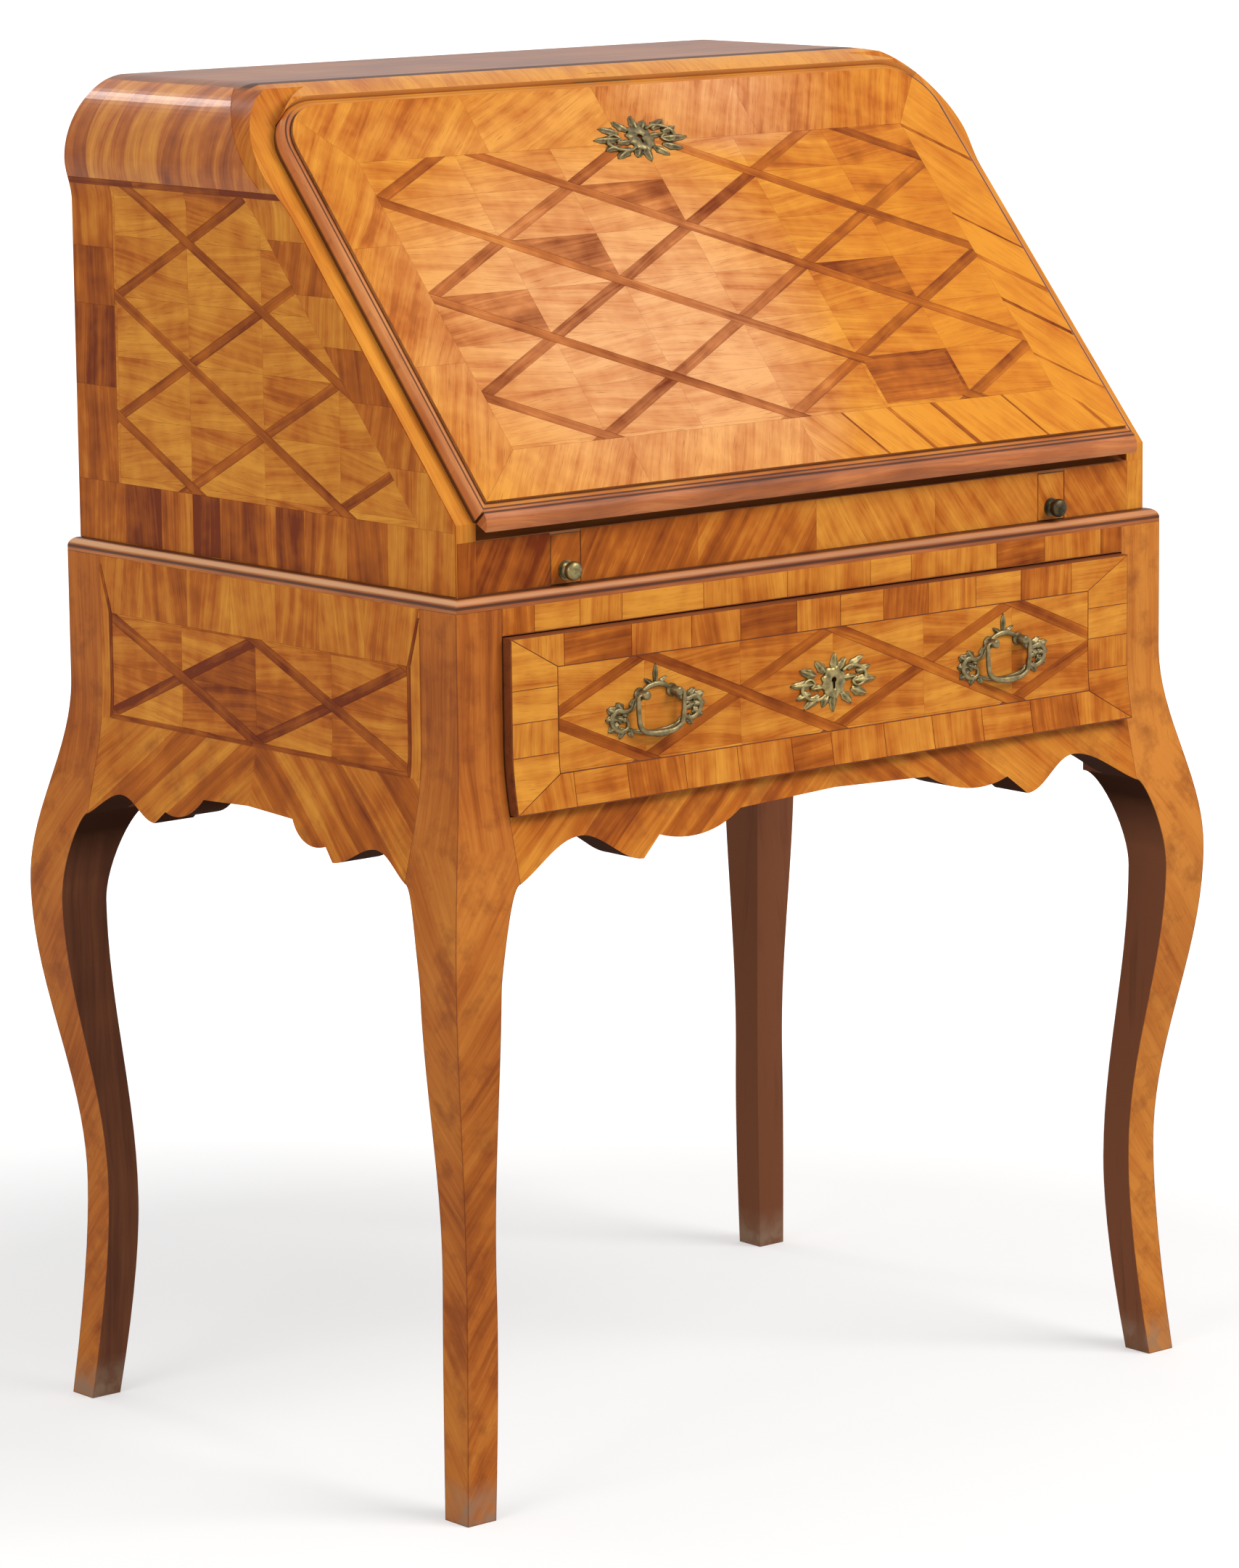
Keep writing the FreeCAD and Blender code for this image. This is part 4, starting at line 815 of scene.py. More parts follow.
FRUITWOOD, OLD_FRUITWOOD = srgb(186, 120, 66), srgb(104, 54, 28)
FRIEZE_FACE, FRIEZE_HEAD, FRIEZE_EDGE = 228.85, 719.8, 345.4
LOPER_MIDDLE, LOPER_HALF, LOPER_OPENING = 245, 13.7, 14.6
END_FOOT, END_HEAD = 681.8, 717.7
opening_in, opening_out = LOPER_MIDDLE - LOPER_OPENING, LOPER_MIDDLE + LOPER_OPENING

inner_wood = bare_wood("polished_fruitwood", FRUITWOOD, OLD_FRUITWOOD, "x", 0.42)
dress(inner_wood, "frieze_rail", "writing_bed")


def on_frieze(x, y):
    return metres(x, -FRIEZE_FACE, y)


frieze = Sheet(rectangle(-FRIEZE_EDGE, FRIEZE_EDGE, CASE_FOOT, FRIEZE_HEAD))
for low, high, cut, leans, tones in ((-FRIEZE_EDGE, -opening_out, -328.2, (90, 58), (0.8, 0.82)),
                                     (-opening_in, 0, -118, (56, 54), (0.6, 0.5)),
                                     (0, opening_in, 122, (124, 126), (0.38, 0.44)),
                                     (opening_out, FRIEZE_EDGE, 328.2, (122, 90), (0.46, 0.36))):
    frieze.band(rectangle(low, high, CASE_FOOT, FRIEZE_HEAD), upright_cuts(cut), leans, tones)
frieze.build("frieze_veneer", on_frieze, "carcase")
for (hand, sign), lean, tone in zip(HANDS, (57, 123), (0.66, 0.46)):
    dress(oak_deep, "loper_" + hand)
    middle = sign * LOPER_MIDDLE
    end = Sheet(rectangle(middle - LOPER_HALF, middle + LOPER_HALF, END_FOOT, END_HEAD))
    end.lay(end.outline, lean, tone)
    end.build("loper_end_veneer_" + hand, on_frieze, "loper_" + hand)

# Cabinet inside the desk
# Thin boards of polished fruitwood housed into each other: a shelf, two uprights, dividers and four small
# drawers with turned knobs.

small_front = bare_wood("small_drawer_veneer", srgb(206, 138, 66), srgb(122, 60, 26), "x", 0.36)
inner_upright = bare_wood("polished_fruitwood_upright", FRUITWOOD, OLD_FRUITWOOD, "y", 0.42)
dress(inner_wood, "cabinet_shelf", "drawer_dividers")
dress(inner_upright, "cabinet_uprights", "pigeonhole_dividers")
small_drawers = [f"small_drawer_{tier}_{hand}" for tier in ("lower", "upper") for hand, sign in HANDS]
for drawer in small_drawers:
    dress(small_front, drawer + "_front")
    dress(oak_deep, drawer + "_tray")

# Fall flap
# A board laid with a trellis of lozenges in a border of slanting veneer, mitred at the corners, with a
# moulded lip round it. Its inner face, the writing surface, is lined with leather.

FLAP_CORNER, FLAP_EDGE, FLAP_FOOT, FLAP_HEAD = 38.0, 322.0, 8.0, 368.3
FLAP_FACE, REPAIR_FACE, FLAP_MOUNT_FACE = 14.92, 15.04, 15.05
FLAP_KEYHOLE = (-3.4, 3.4, 309.5, 322.5)
FLAP_LOZENGE, FLAP_CROSSING, FLAP_STRIP = (92, 45), (0, 52), 4.3
FIELD_LEFT, FIELD_RIGHT, FIELD_LOW, FIELD_HIGH = -275.0, 270.0, 49.0, 313.0
FLAP_REPAIR = (95.5, 180.5, 52.5, 94)
DARK_QUARTERS = ((-184, 187), (-92, 232), (0, 277), (184, 187), (184, 97))


def on_flap(x, s, off):
    # The point in metres that lies s up the slope and off it, both in millimetres
    out, up = s * SLOPE_COS - off * SLOPE_SIN, s * SLOPE_SIN + off * SLOPE_COS
    return metres(x, out - SLOPE_FOOT, up + SLOPE_LOW)


def flap_tone(x, y, right, upper):
    dark = not right and not upper and any(abs(x - p) < 30 and abs(y - q) < 20 for p, q in DARK_QUARTERS)
    return (0.36 if x > 130 else 0.27) + (0.38 if dark else 0.0) + (0.06 if x > 130 and y > 240 else 0.0)


def flap_hue_and_sheen(x, y):
    # Painted sheen: the middle of the left half and the upper right are painted rosy and pale as a soft
    # reflection; the lower right is yellower
    sunny = min(max((x - 10 - 0.25 * y) / 110, 0.0), 1.0)
    rosy_sheen = min(max(1.0 - math.hypot((x + 95) / 255, (y - 140) / 195) ** 2, 0.0), 1.0)
    pale = 1.4 * max(1.0 - math.hypot((x - 150) / 190, (y - 350) / 70) ** 2, 0.0)
    return max(sunny - rosy_sheen - pale, -1.0)


def streaked(sheet, outline, a, b, places, lean):
    # A border with dark slanting streaks of heartwood
    cuts, tones = [], [0.2]
    for number, place in enumerate(places):
        cuts += [(a, b, place), (a, b, place + 2.4 + 1.6 * (number % 3))]
        tones += [0.74 + 0.08 * (number % 2), 0.16 + 0.06 * (number % 2)]
    sheet.band(outline, cuts, (lean,), tones, 0.04)


def flap_outline():
    # The lower corners are square, the upper ones rounded
    right = []
    for k in range(0, 91, 9):
        x, y = FLAP_CORNER * math.cos(math.radians(k)), FLAP_CORNER * math.sin(math.radians(k))
        right.append((FLAP_EDGE - FLAP_CORNER + x, FLAP_HEAD - FLAP_CORNER + y))
    return [(-FLAP_EDGE, FLAP_FOOT), (FLAP_EDGE, FLAP_FOOT)] + right + mirrored(right)


def flap_sheet():
    sheet = Sheet(flap_outline(), FLAP_KEYHOLE, flap_hue_and_sheen)
    left, right, foot, head = FIELD_LEFT, FIELD_RIGHT, FIELD_LOW, FIELD_HIGH
    low_left, low_right = (-FLAP_EDGE, FLAP_FOOT), (FLAP_EDGE, FLAP_FOOT)
    high_left, high_right = (-FLAP_EDGE, FLAP_HEAD + 2), (FLAP_EDGE, FLAP_HEAD + 2)
    bottom = [low_left, low_right, (right, foot), (left, foot)]
    sheet.band(clip(bottom, 1, 0, 2), upright_cuts(-168), (52, 56), (0.24, 0.28), 0.05)
    streaked(sheet, clip(bottom, -1, 0, -2), 1, 0.6, (74, 121, 166, 241, 306), 127)
    top = [(left, head), (right, head), high_right, high_left]
    sheet.band(top, upright_cuts(-150, -20, 120), (40, 30, 58, 60), (0.34, 0.28, 0.40, 0.42), 0.05)
    left_border = [low_left, (left, foot), (left, head), high_left]
    sheet.band(left_border, level_cuts(128, 236), (58, 54, 50), (0.34, 0.36, 0.34), 0.05)
    right_border = [low_right, high_right, (right, head), (right, foot)]
    streaked(sheet, right_border, 0.75, 1, (285, 338, 380, 424, 512), 126)
    field = rectangle(left, right, foot, head)
    sheet.trellis(field, FLAP_CROSSING, FLAP_LOZENGE, FLAP_STRIP, flap_tone, 0.70)
    return sheet


flap_sheet().build("flap_veneer", lambda x, y: on_flap(x, y, FLAP_FACE), "flap")
repair = Sheet(rectangle(*FLAP_REPAIR))
repair.lay(repair.outline, 2, 0.66)
repair.build("flap_repair_veneer", lambda x, y: on_flap(x, y, REPAIR_FACE), "flap")
dress(inner_wood, "flap_panel")

LIP_WOODS = (srgb(222, 148, 86), srgb(182, 106, 58), srgb(104, 50, 26))
# Painted shade for the quirks and gaps of the lip
LIP_PAINTED_SHADE = srgb(46, 22, 12)
LIP_CORNER, LIP_EDGE, LIP_HEAD, LIP_FOOT = 0.038, 0.322, 0.3685, 0.008
BEAD_LINE, NOSE_LINE, LIP_SLACK = 0.0042, 0.0076, 0.0001


def slope_place(wood, y, z):
    # Metres off the slope and up it
    out, above = wood.plus(y, SLOPE_FOOT / 1000), wood.plus(z, -SLOPE_LOW / 1000)
    return slant(wood, above, out, math.atan2(SLOPE_SIN, SLOPE_COS))


def past_veneer(wood, x, up):
    # Metres outside the veneer's outline, with its rounded upper corners, and past their centres upwards
    past_x = wood.minus(wood.size(x), LIP_EDGE - LIP_CORNER)
    past_up = wood.minus(up, LIP_HEAD - LIP_CORNER)
    out_x, out_up = wood.larger(past_x, 0.0), wood.larger(past_up, 0.0)
    round_off = wood.maths("SQRT", wood.plus(wood.times(out_x, out_x), wood.times(out_up, out_up)))
    inside = wood.maths("MINIMUM", wood.larger(past_x, past_up), 0.0)
    off = wood.minus(wood.plus(round_off, inside), LIP_CORNER)
    return wood.larger(off, wood.minus(LIP_FOOT, up)), past_up


def lip_material():
    # The moulded lip: grain along it, and painted shade as a dark line in each quirk beside the bead and in
    # the gap at its foot
    wood = Finish("lip_fruitwood")
    x, y, z = wood.separate(wood.place)
    height, up = slope_place(wood, y, z)
    off, past_up = past_veneer(wood, x, up)
    upright = wood.maths("GREATER_THAN", off, wood.minus(LIP_FOOT + LIP_SLACK, up))
    level = wood.minus(1.0, upright)
    laid = wood.combine(wood.choose(upright, x, up), off, 0.5)
    tone = wood.plus(wood.cloudy(8.0, 0.3, 0.7), wood.between(upright, 0.12, -0.12))
    colour, figure = wood.grain(laid, tone, *LIP_WOODS)[:2]
    pale = wood.grain(laid, wood.plus(tone, -0.2), *TULIPWOOD).colour
    top_share = wood.ramp(past_up, 0.030, 0.037)
    fillet = wood.times(level, wood.ramp(off, BEAD_LINE, 0.0036, 0.0, 0.8))
    colour = wood.blend(wood.larger(top_share, fillet), colour, pale)
    # Painted shade: dark lines in the gap at the foot of the side runs, in the quirks and at the edge of the
    # field, fainter at the top
    foot_line = wood.times(upright, wood.ramp(height, 0.0045, 0.0025))
    nose_line = wood.times(level, drawn_line(wood, off, NOSE_LINE, 0.0014, 0.0005))
    middle_line = drawn_line(wood, off, BEAD_LINE, 0.0010, 0.0004)
    quirk = wood.larger(foot_line, wood.larger(nose_line, middle_line))
    quirk = wood.larger(wood.ramp(off, 0.0016, 0.0006), quirk)
    painted_shade = wood.times(quirk, wood.between(top_share, QUIRK_SHADE_STRENGTH, 0.3))
    return wood.polish(wood.blend(painted_shade, colour, LIP_PAINTED_SHADE), figure, 0.36, 0.04)


dress(lip_material(), "flap_lip")

TAN, DARK_TAN, GILT = srgb(122, 66, 36), srgb(84, 40, 24), srgb(196, 158, 84)
HIDE_HALF, HIDE_RISE, HIDE_MIDDLE = 0.2839, 0.1425, 0.1885
TOOLED_LINES = ((0.014, 0.0011), (0.019, 0.0005))


def leather_material():
    # Worn tan hide with a tooled double line along its edge
    hide = Finish("tooled_leather")
    x, y, z = hide.separate(hide.place)
    up = slope_place(hide, y, z)[1]
    edge_x = hide.minus(HIDE_HALF, hide.size(x))
    edge_up = hide.minus(HIDE_RISE, hide.size(hide.plus(up, -HIDE_MIDDLE)))
    edge = hide.maths("MINIMUM", edge_x, edge_up)
    lines = [hide.maths("COMPARE", edge, middle, half) for middle, half in TOOLED_LINES]
    tooled = hide.larger(*lines)
    cloud, pebble = hide.cloud(9.0, 4.0), hide.cloud(900.0, 2.0)
    colour = hide.blend(hide.ramp(cloud, 0.3, 0.7), TAN, DARK_TAN)
    gilt = hide.times(tooled, hide.ramp(pebble, 0.3, 0.6, 0.45, 0.95))
    rough = hide.ramp(cloud, 0.3, 0.7, 0.46, 0.6)
    return hide.polish(hide.blend(gilt, colour, GILT), hide.minus(pebble, tooled), rough, 0.0, 0.0004)


dress(leather_material(), "flap_lining")

# Brass and iron
# Chased and once gilt mounts, gone dull and greenish; steel locks and bolts behind the wood; brass hinges
# with their steel pins.


def metal_material(name, bright, dull, rough):
    # Dull in the hollows and bright where it is rubbed
    metal = Finish(name)
    cloud = metal.cloud(160.0, 4.0)
    hollow = metal.node("NewGeometry").outputs["Pointiness"]
    worn = metal.plus(metal.ramp(cloud, 0.35, 0.65, 0.0, 0.6), metal.ramp(hollow, 0.47, 0.54, -0.2, 0.5))
    colour = metal.blend(metal.node("Clamp", {"Value": worn}).outputs[0], dull, bright)
    relief = metal.node("Bump", {"Height": cloud, "Distance": 0.0002, "Strength": 0.5}).outputs[0]
    shader = metal.node("BsdfPrincipled", {
        "Base Color": colour, "Metallic": 0.9, "Normal": relief,
        "Roughness": metal.ramp(cloud, 0.3, 0.7, rough + 0.1, rough)})
    metal.node("OutputMaterial", {"Surface": shader.outputs[0]})
    return metal.material


brass = metal_material("dull_brass", srgb(136, 122, 86), srgb(38, 33, 24), 0.38)
pale_brass = metal_material("pale_brass", srgb(160, 144, 96), srgb(42, 36, 25), 0.36)
iron = metal_material("lock_iron", srgb(120, 116, 112), srgb(54, 50, 48), 0.42)
# Painted shade: a darker brass for the right loper knob, which stands in shade
painted_shade_brass = metal_material("painted_shade_brass", srgb(92, 80, 56), srgb(28, 24, 18), 0.42)
dress(painted_shade_brass, "loper_knob_right")
# Painted light: the left loper knob takes the paler brass, as if more lit
dress(pale_brass, "loper_knob_left")
dress(brass, "hinge_fixed_leaves", "hinge_flap_leaves", *(drawer + "_knob" for drawer in small_drawers))
dress(iron, "hinge_pins", "flap_lock", "flap_bolt", "drawer_lock", "drawer_bolt")

# Cast mounts
# Scrolls and leaves cast in brass, chased by hand and pinned to the wood: a leafy shield round each keyhole
# and a pair of handles, whose bails hang from two posts and swing up.

SUNK = -0.3


def round_points(count):
    turns = [2 * math.pi * k / count for k in range(count)]
    return [(math.cos(turn), math.sin(turn)) for turn in turns]


def smooth_curve(knots, steps):
    # A curve through all the knots, which leaves the first and reaches the last straight
    before = tuple(2 * a - b for a, b in zip(knots[0], knots[1]))
    after = tuple(2 * a - b for a, b in zip(knots[-1], knots[-2]))
    path = [before, *knots, after]
    points = []
    for k in range(1, len(path) - 2):
        for t in (step / steps for step in range(steps)):
            points.append(tuple(0.5 * (2 * q + (r - p) * t + (2 * p - 5 * q + 4 * r - s) * t * t
                                       + (3 * q - p - 3 * r + s) * t ** 3)
                                for p, q, r, s in zip(*path[k - 1:k + 3])))
    return points + [knots[-1]]


class Casting:
    # Relief modelled on a plane: x and y in it, h off it, in millimetres
    def __init__(self):
        self.verts, self.faces = [], []

    def tube(self, start, rings, sides):
        # Faces between rings of points, closed at both ends
        for k in range(rings - 1):
            for side in range(sides):
                a, b = start + k * sides + side, start + k * sides + (side + 1) % sides
                self.faces.append((a, b, b + sides, a + sides))
        last = start + (rings - 1) * sides
        self.faces += [tuple(range(start, start + sides))[::-1], tuple(range(last, last + sides))]

    def scroll(self, knots, rise=0.0, flat=0.8, sides=10, steps=5, turned=False):
        # A rounded stem along a smooth curve through knots (x, y, radius); turned ones are round all over
        centres = smooth_curve(knots, steps)
        start = len(self.verts)
        for k, (x, y, radius) in enumerate(centres):
            before, after = centres[max(k - 1, 0)], centres[min(k + 1, len(centres) - 1)]
            length = math.hypot(after[0] - before[0], after[1] - before[1]) or 1.0
            nx, ny = (before[1] - after[1]) / length, (after[0] - before[0]) / length
            for cos, sin in round_points(sides):
                h = rise + radius * flat * sin
                if not turned:
                    h = max(h + radius * 0.5, SUNK)
                self.verts.append((x + nx * radius * cos, y + ny * radius * cos, h))
        self.tube(start, len(centres), sides)

    def leaf(self, base, tip, width, height, lobes=2):
        # A chased leaf with a rib down the middle and a notched edge
        rows, columns = 13, 8
        wide = columns + 1
        length = math.dist(base, tip)
        ax, ay = (tip[0] - base[0]) / length, (tip[1] - base[1]) / length
        start = len(self.verts)
        for row in range(rows + 1):
            t = row / rows
            notch = 1 - 0.22 * abs(math.sin(math.pi * (lobes + 0.5) * t))
            half = width / 2 * max(math.sin(math.pi * min(t * 0.86 + 0.12, 1.0)), 0.03) * notch
            for column in range(wide):
                u = 2 * column / columns - 1
                rib = 0.35 * max(0.0, 1 - abs(u) * 4) - 0.2 * max(0.0, 1 - abs(abs(u) - 0.45) * 5)
                h = height * ((1 - u * u) * (0.55 + 0.45 * math.sin(math.pi * t)) + rib)
                if row in (0, rows) or column in (0, columns):
                    h = SUNK
                x, y = base[0] + ax * length * t - ay * half * u, base[1] + ay * length * t + ax * half * u
                self.verts.append((x, y, h))
        for row in range(rows):
            for a in range(start + row * wide, start + row * wide + columns):
                self.faces.append((a, a + wide, a + wide + 1, a + 1))
        last = start + rows * wide
        rim = [*range(start, start + wide), *range(start + wide + columns, last + wide, wide)]
        rim += [*range(last + columns - 1, last - 1, -1), *range(last - wide, start, -wide)]
        self.faces.append(tuple(rim))

    def shield(self, hole, outline, height, points=56, rings=6):
        # A domed plate pierced by a keyhole; hole and outline give a radius for each angle
        start = len(self.verts)
        edges = []
        for k, (cos, sin) in enumerate(round_points(points)):
            angle = 2 * math.pi * k / points
            edges.append((cos, sin, hole(angle), outline(angle)))
        for ring in range(rings + 1):
            share = ring / rings
            h = height * (0.75 + 0.5 * math.sin(math.pi * share) - 0.35 * share * share)
            for cos, sin, inner, outer in edges:
                radius = inner * (1 - share) + outer * share
                self.verts.append((radius * cos, radius * sin, SUNK if ring == rings else h))
        self.verts += [(inner * cos, inner * sin, SUNK) for cos, sin, inner, outer in edges]
        edge, wall = start + rings * points, start + (rings + 1) * points
        for k in range(points):
            after = (k + 1) % points
            for row in range(start, edge, points):
                self.faces.append((row + k, row + points + k, row + points + after, row + after))
            self.faces.append((start + after, wall + after, wall + k, start + k))
            self.faces.append((edge + k, wall + k, wall + after, edge + after))

    def post(self, x, y, radius, height, sides=20):
        # A turned post with a spread foot and a rounded head
        start = len(self.verts)
        foot = ((1.5, SUNK), (1.5, 1.4), (1.15, 2.2), (1.0, 3.2))
        head = ((1.0, height - 1.2), (0.8, height - 0.4), (0.45, height))
        for share, h in foot + head:
            for cos, sin in round_points(sides):
                self.verts.append((x + radius * share * cos, y + radius * share * sin, h))
        self.tube(start, len(foot + head), sides)

    def add(self, part, middle):
        # Another casting, moved along x
        start = len(self.verts)
        self.verts += [(x + middle, y, h) for x, y, h in part.verts]
        self.faces += [tuple(start + k for k in face) for face in part.faces]

    def build(self, name, place, body, node_name, finish=brass):
        made = new_piece(name, [place(*point) for point in self.verts], self.faces, finish)
        for polygon in made.data.polygons:
            polygon.use_smooth = True
        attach(made, body)
        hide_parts(node_name)


def keyhole_edge(angle):
    # Distance from the middle of the keyhole to its edge: a round eye over an upright slot
    eye_height, eye_radius, slot_half, slot_foot = 2.6, 2.7, 1.3, -6.0
    radius = 0.5
    x, y = math.cos(angle), math.sin(angle)
    while (math.hypot(x * radius, y * radius - eye_height) < eye_radius
           or (abs(x * radius) < slot_half and slot_foot < y * radius < eye_height)):
        radius += 0.05
    return radius


def shield_edge(angle):
    # An oval with nine shallow lobes
    half_wide, half_high, lobes, lobe_share = 13.5, 17.5, 9, 0.09
    x, y = math.cos(angle) / half_wide, math.sin(angle) / half_high
    return 1 / math.sqrt(x ** 2 + y ** 2) * (1 + lobe_share * math.cos(lobes * angle + 0.6))


KEY_SCROLL = ((9, 11, 1.5), (17, 15, 1.9), (27, 13, 1.9), (34, 6, 1.7), (32, -3, 1.5), (25, -6, 1.3),
              (20.5, -1, 1.2), (24.5, 3, 1.6))
KEY_LEAVES = ((-2, 20, 47, 13), (17, 25, 42, 12), (36, 18, 40, 13), (62, 13, 27, 12), (88, 11, 30, 11),
              (-24, 20, 40, 13), (-50, 13, 31, 12))


def key_mount():
    # Leaves are given by their turn in degrees, where they start, how far they reach and their width
    mount = Casting()
    for sign in (1, -1):
        for turn, start, reach, width in KEY_LEAVES:
            x, y = sign * math.cos(math.radians(turn)), sign * math.sin(math.radians(turn))
            mount.leaf((x * start, y * start), (x * reach, y * reach), width, 2.3)
        mount.scroll([(sign * x, sign * y, r) for x, y, r in KEY_SCROLL], 0.5)
        mount.leaf((sign * 9, sign * 3), (sign * 26, sign * 4), 9, 2.2)
    mount.shield(keyhole_edge, shield_edge, 2.0)
    return mount


DRAWER_KEY_HEIGHT, FLAP_KEY_PLACE = 583.4, 315.9
DRAWER_WIDE_SHARE, DRAWER_HIGH_SHARE, FLAP_HIGH_SHARE = 0.94, 0.76, 0.74


def drawer_key_place(x, y, h):
    return metres(DRAWER_WIDE_SHARE * x, -(DRAWER_FACE + h), DRAWER_KEY_HEIGHT + DRAWER_HIGH_SHARE * y)


def flap_key_place(x, y, h):
    return on_flap(x, FLAP_KEY_PLACE + FLAP_HIGH_SHARE * y, FLAP_MOUNT_FACE + h)


key_mount().build("drawer_key_mount", drawer_key_place, "drawer", "drawer_escutcheon", pale_brass)
key_mount().build("flap_key_mount", flap_key_place, "flap", "flap_escutcheon")

HANDLE_MIDDLE, HANDLE_HEIGHT, HANDLE_FLATTEN = 176.08, 596, 0.78
POST_PLACE, POST_RADIUS, POST_HEIGHT = 15.5, 3.4, 11.0
STEM_START = ((POST_PLACE, 0, 1.9), (19, -3.5, 1.9))
STEM_SCROLL = ((23.5, -10, 1.9), (30, -12.5, 2.0), (38, -10.5, 2.0), (43, -17, 2.0), (41, -26, 2.0),
               (34, -31, 1.9), (27.5, -28, 1.6), (27.5, -22, 1.5), (32, -19.5, 2.0))
STEM_LEAVES = (((31, -13), (38, -3), 10), ((35, -14), (47, -8), 11), ((36, -19), (48.5, -18), 11),
               ((35, -23), (46, -30), 11), ((31, -27), (35, -38), 10), ((24, -11), (21, -1), 7),
               ((33, -15), (26, -17), 9), ((29, -21), (38, -17), 9), ((25, -29), (23, -38), 9))


def handle_mount():
    # Leafy scrolls hang from both posts, the left one a little lower than the right
    mount = Casting()
    for sign in (1, -1):
        drop = 2.0 * sign
        mount.post(sign * POST_PLACE, 0, POST_RADIUS, POST_HEIGHT)
        for base, tip, width in STEM_LEAVES:
            ends = [(sign * x, HANDLE_FLATTEN * (y + drop)) for x, y in (base, tip)]
            mount.leaf(*ends, width, 2.2)
        stem = [*STEM_START, *((x, y + drop, r) for x, y, r in STEM_SCROLL)]
        mount.scroll([(sign * x, HANDLE_FLATTEN * y, r) for x, y, r in stem], 0.5)
        mount.leaf((sign * 2, 5), (sign * 11, 11), 6, 1.8)
    arch = [(-POST_PLACE, 0, 1.7), (-9, 4.5, 1.9), (0, 6.4, 2.3), (9, 4.5, 1.9), (POST_PLACE, 0, 1.7)]
    mount.scroll(arch, 0.4)
    mount.scroll([(-29, -24, 1.2), (-17, -27.5, 1.6), (0, -29, 1.9), (17, -26.5, 1.6), (29, -21, 1.2)])
    mount.leaf((0, 4), (0, 21.5), 6, 2.6, 1)
    return mount


def handle_place(x, y, h):
    return metres(x, -(DRAWER_FACE + h), HANDLE_HEIGHT + y)


pair = Casting()
for middle in (-HANDLE_MIDDLE, HANDLE_MIDDLE):
    pair.add(handle_mount(), middle)
pair.build("handle_mounts", handle_place, "drawer", "handle_plates")

BAIL_BACK, BAIL_OFF = 246.0, 7.6
BAIL_HALF = [(16.2, 0, 1.2), (20.4, 0, 1.2), (22.0, -2.0, 1.6), (22.0, -8, 1.8), (21.6, -16, 1.9),
             (19.6, -24, 2.0), (13, -28, 2.2), (6.5, -29, 2.4)]
BAIL_GRIP = [(4.6, -29.2, 2.8), (0, -29.4, 3.0), (-4.6, -29.2, 2.8)]
for hand, sign in HANDS:
    bail = Casting()
    other_half = [(-x, y, r) for x, y, r in BAIL_HALF[::-1]]
    bail.scroll(BAIL_HALF + BAIL_GRIP + other_half, BAIL_OFF, 1.0, 12, 6, True)
    bail.build("bail_grip_" + hand,
               lambda x, y, h, s=sign: metres(s * HANDLE_MIDDLE + x, -(BAIL_BACK + h), HANDLE_HEIGHT + y),
               "bail_" + hand, "bail_" + hand)

# Studio
# A pale floor that runs out of sight, a white surround, a broad lamp above the front, weaker ones at the
# back and on the left, and the camera where the photograph was taken.

WHITE = (1.0, 1.0, 1.0, 1.0)
FLOOR_GREY = (0.56, 0.562, 0.565, 1.0)
FLOOR_REACH = 30


def seen(nodes):
    # 1 for what the camera sees, straight or in metal and glass, and 0 for light that falls on the object
    rays = nodes.node("LightPath").outputs
    through = nodes.larger(rays["Is Glossy Ray"], rays["Is Transmission Ray"])
    return nodes.larger(rays["Is Camera Ray"], through)


def floor_material():
    ground = Finish("pale_floor")
    matt = ground.node("BsdfDiffuse", {"Color": FLOOR_GREY}).outputs[0]
    distance = ground.node("VectorMath", {0: ground.place}, operation="LENGTH").outputs["Value"]
    strength = ground.times(seen(ground), ground.ramp(distance, 0.65, 2.1, 0.43, 1.0))
    glow = ground.node("Emission", {"Color": WHITE, "Strength": strength}).outputs[0]
    both = ground.node("AddShader", {0: matt, 1: glow}).outputs[0]
    ground.node("OutputMaterial", {"Surface": both})
    return ground.material


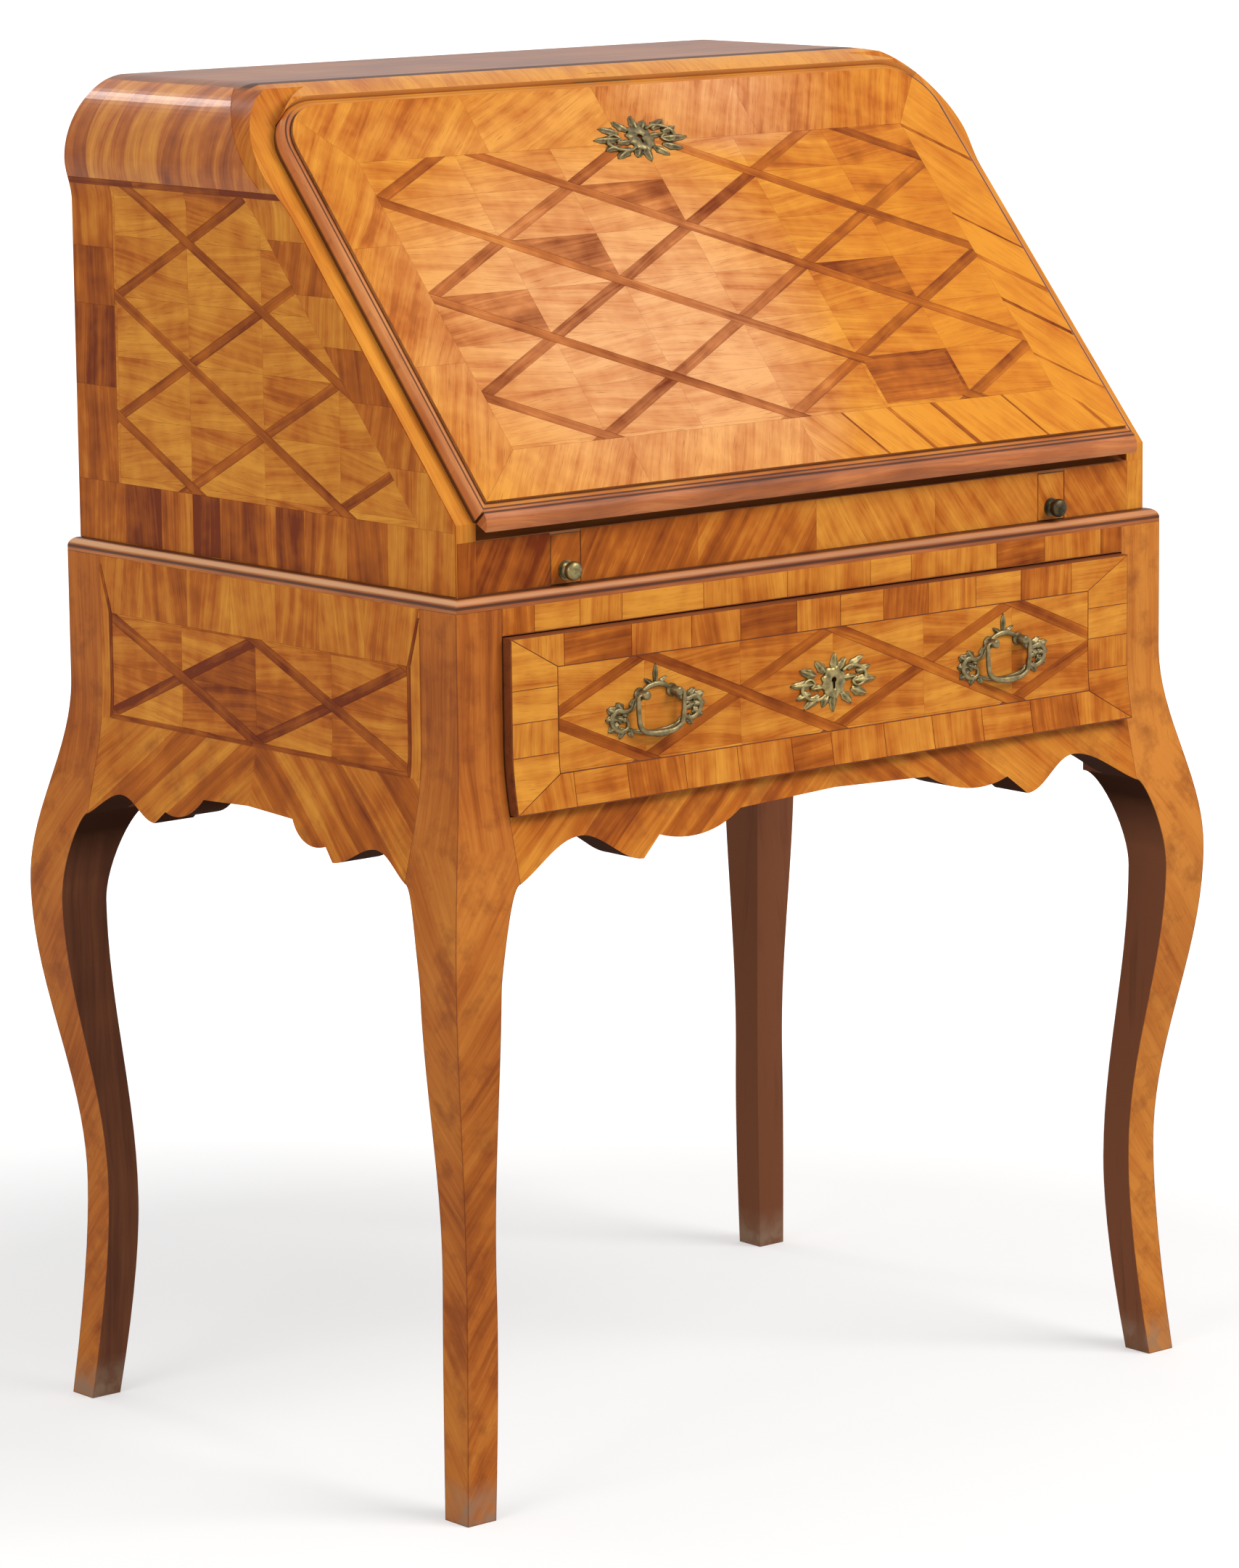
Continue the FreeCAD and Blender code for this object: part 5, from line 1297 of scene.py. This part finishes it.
corners = rectangle(-FLOOR_REACH, FLOOR_REACH, -FLOOR_REACH, FLOOR_REACH)
floor = new_piece("floor", [(x, y, 0) for x, y in corners], [(0, 1, 2, 3)], floor_material())


def lamp(name, place, aim, size, power, colour):
    light = bpy.data.lights.new(name, "AREA")
    light.shape = "RECTANGLE"
    light.size, light.size_y = size
    light.energy = power
    light.color = colour
    made = bpy.data.objects.new(name, light)
    turn = (Vector(aim) - Vector(place)).to_track_quat("-Z", "Y").to_matrix().to_4x4()
    made.matrix_world = Matrix.Translation(place) @ turn
    bpy.context.scene.collection.objects.link(made)


lamp("front_lamp", (1.3, -2.7, 3.2), (0.0, 0.0, 0.6), (2.2, 1.6), 98.0, (1.0, 0.97, 0.94))
lamp("back_lamp", (-0.22, 2.51, 2.78), (-0.34, 0.1, 1.0), (0.4, 0.4), 7.0, (1.0, 0.98, 0.96))
lamp("side_lamp", (-3.4, -0.6, 2.2), (0.0, 0.0, 0.6), (1.8, 1.8), 34.0, (1.0, 0.97, 0.94))

world = bpy.data.worlds.new("white_surround")
bpy.context.scene.world = world
sky = Nodes(world)
surround = sky.node("Background", {"Color": WHITE, "Strength": sky.between(seen(sky), 0.6, 1.0)})
sky.node("OutputWorld", {"Surface": surround.outputs[0]})

CAMERA_PLACE = (-3.06972, -3.61715, 1.31748)
lens = bpy.data.cameras.new("photographer")
lens.lens, lens.sensor_width = 141.17, 36.0
photographer = bpy.data.objects.new("photographer", lens)
turn, tilt, roll = math.radians(-40.30), math.radians(10.08), math.radians(-0.63)
back = Vector((math.sin(turn) * math.cos(tilt), -math.cos(turn) * math.cos(tilt), math.sin(tilt)))
level = (-back).cross(Vector((0, 0, 1))).normalized()
upward = level.cross(-back)
right = level * math.cos(roll) + upward * math.sin(roll)
upward = upward * math.cos(roll) - level * math.sin(roll)
stand = Matrix((right, upward, back)).transposed().to_4x4()
photographer.matrix_world = Matrix.Translation(CAMERA_PLACE) @ stand
bpy.context.scene.collection.objects.link(photographer)
bpy.context.scene.camera = photographer
bpy.context.scene.view_settings.view_transform = "Standard"
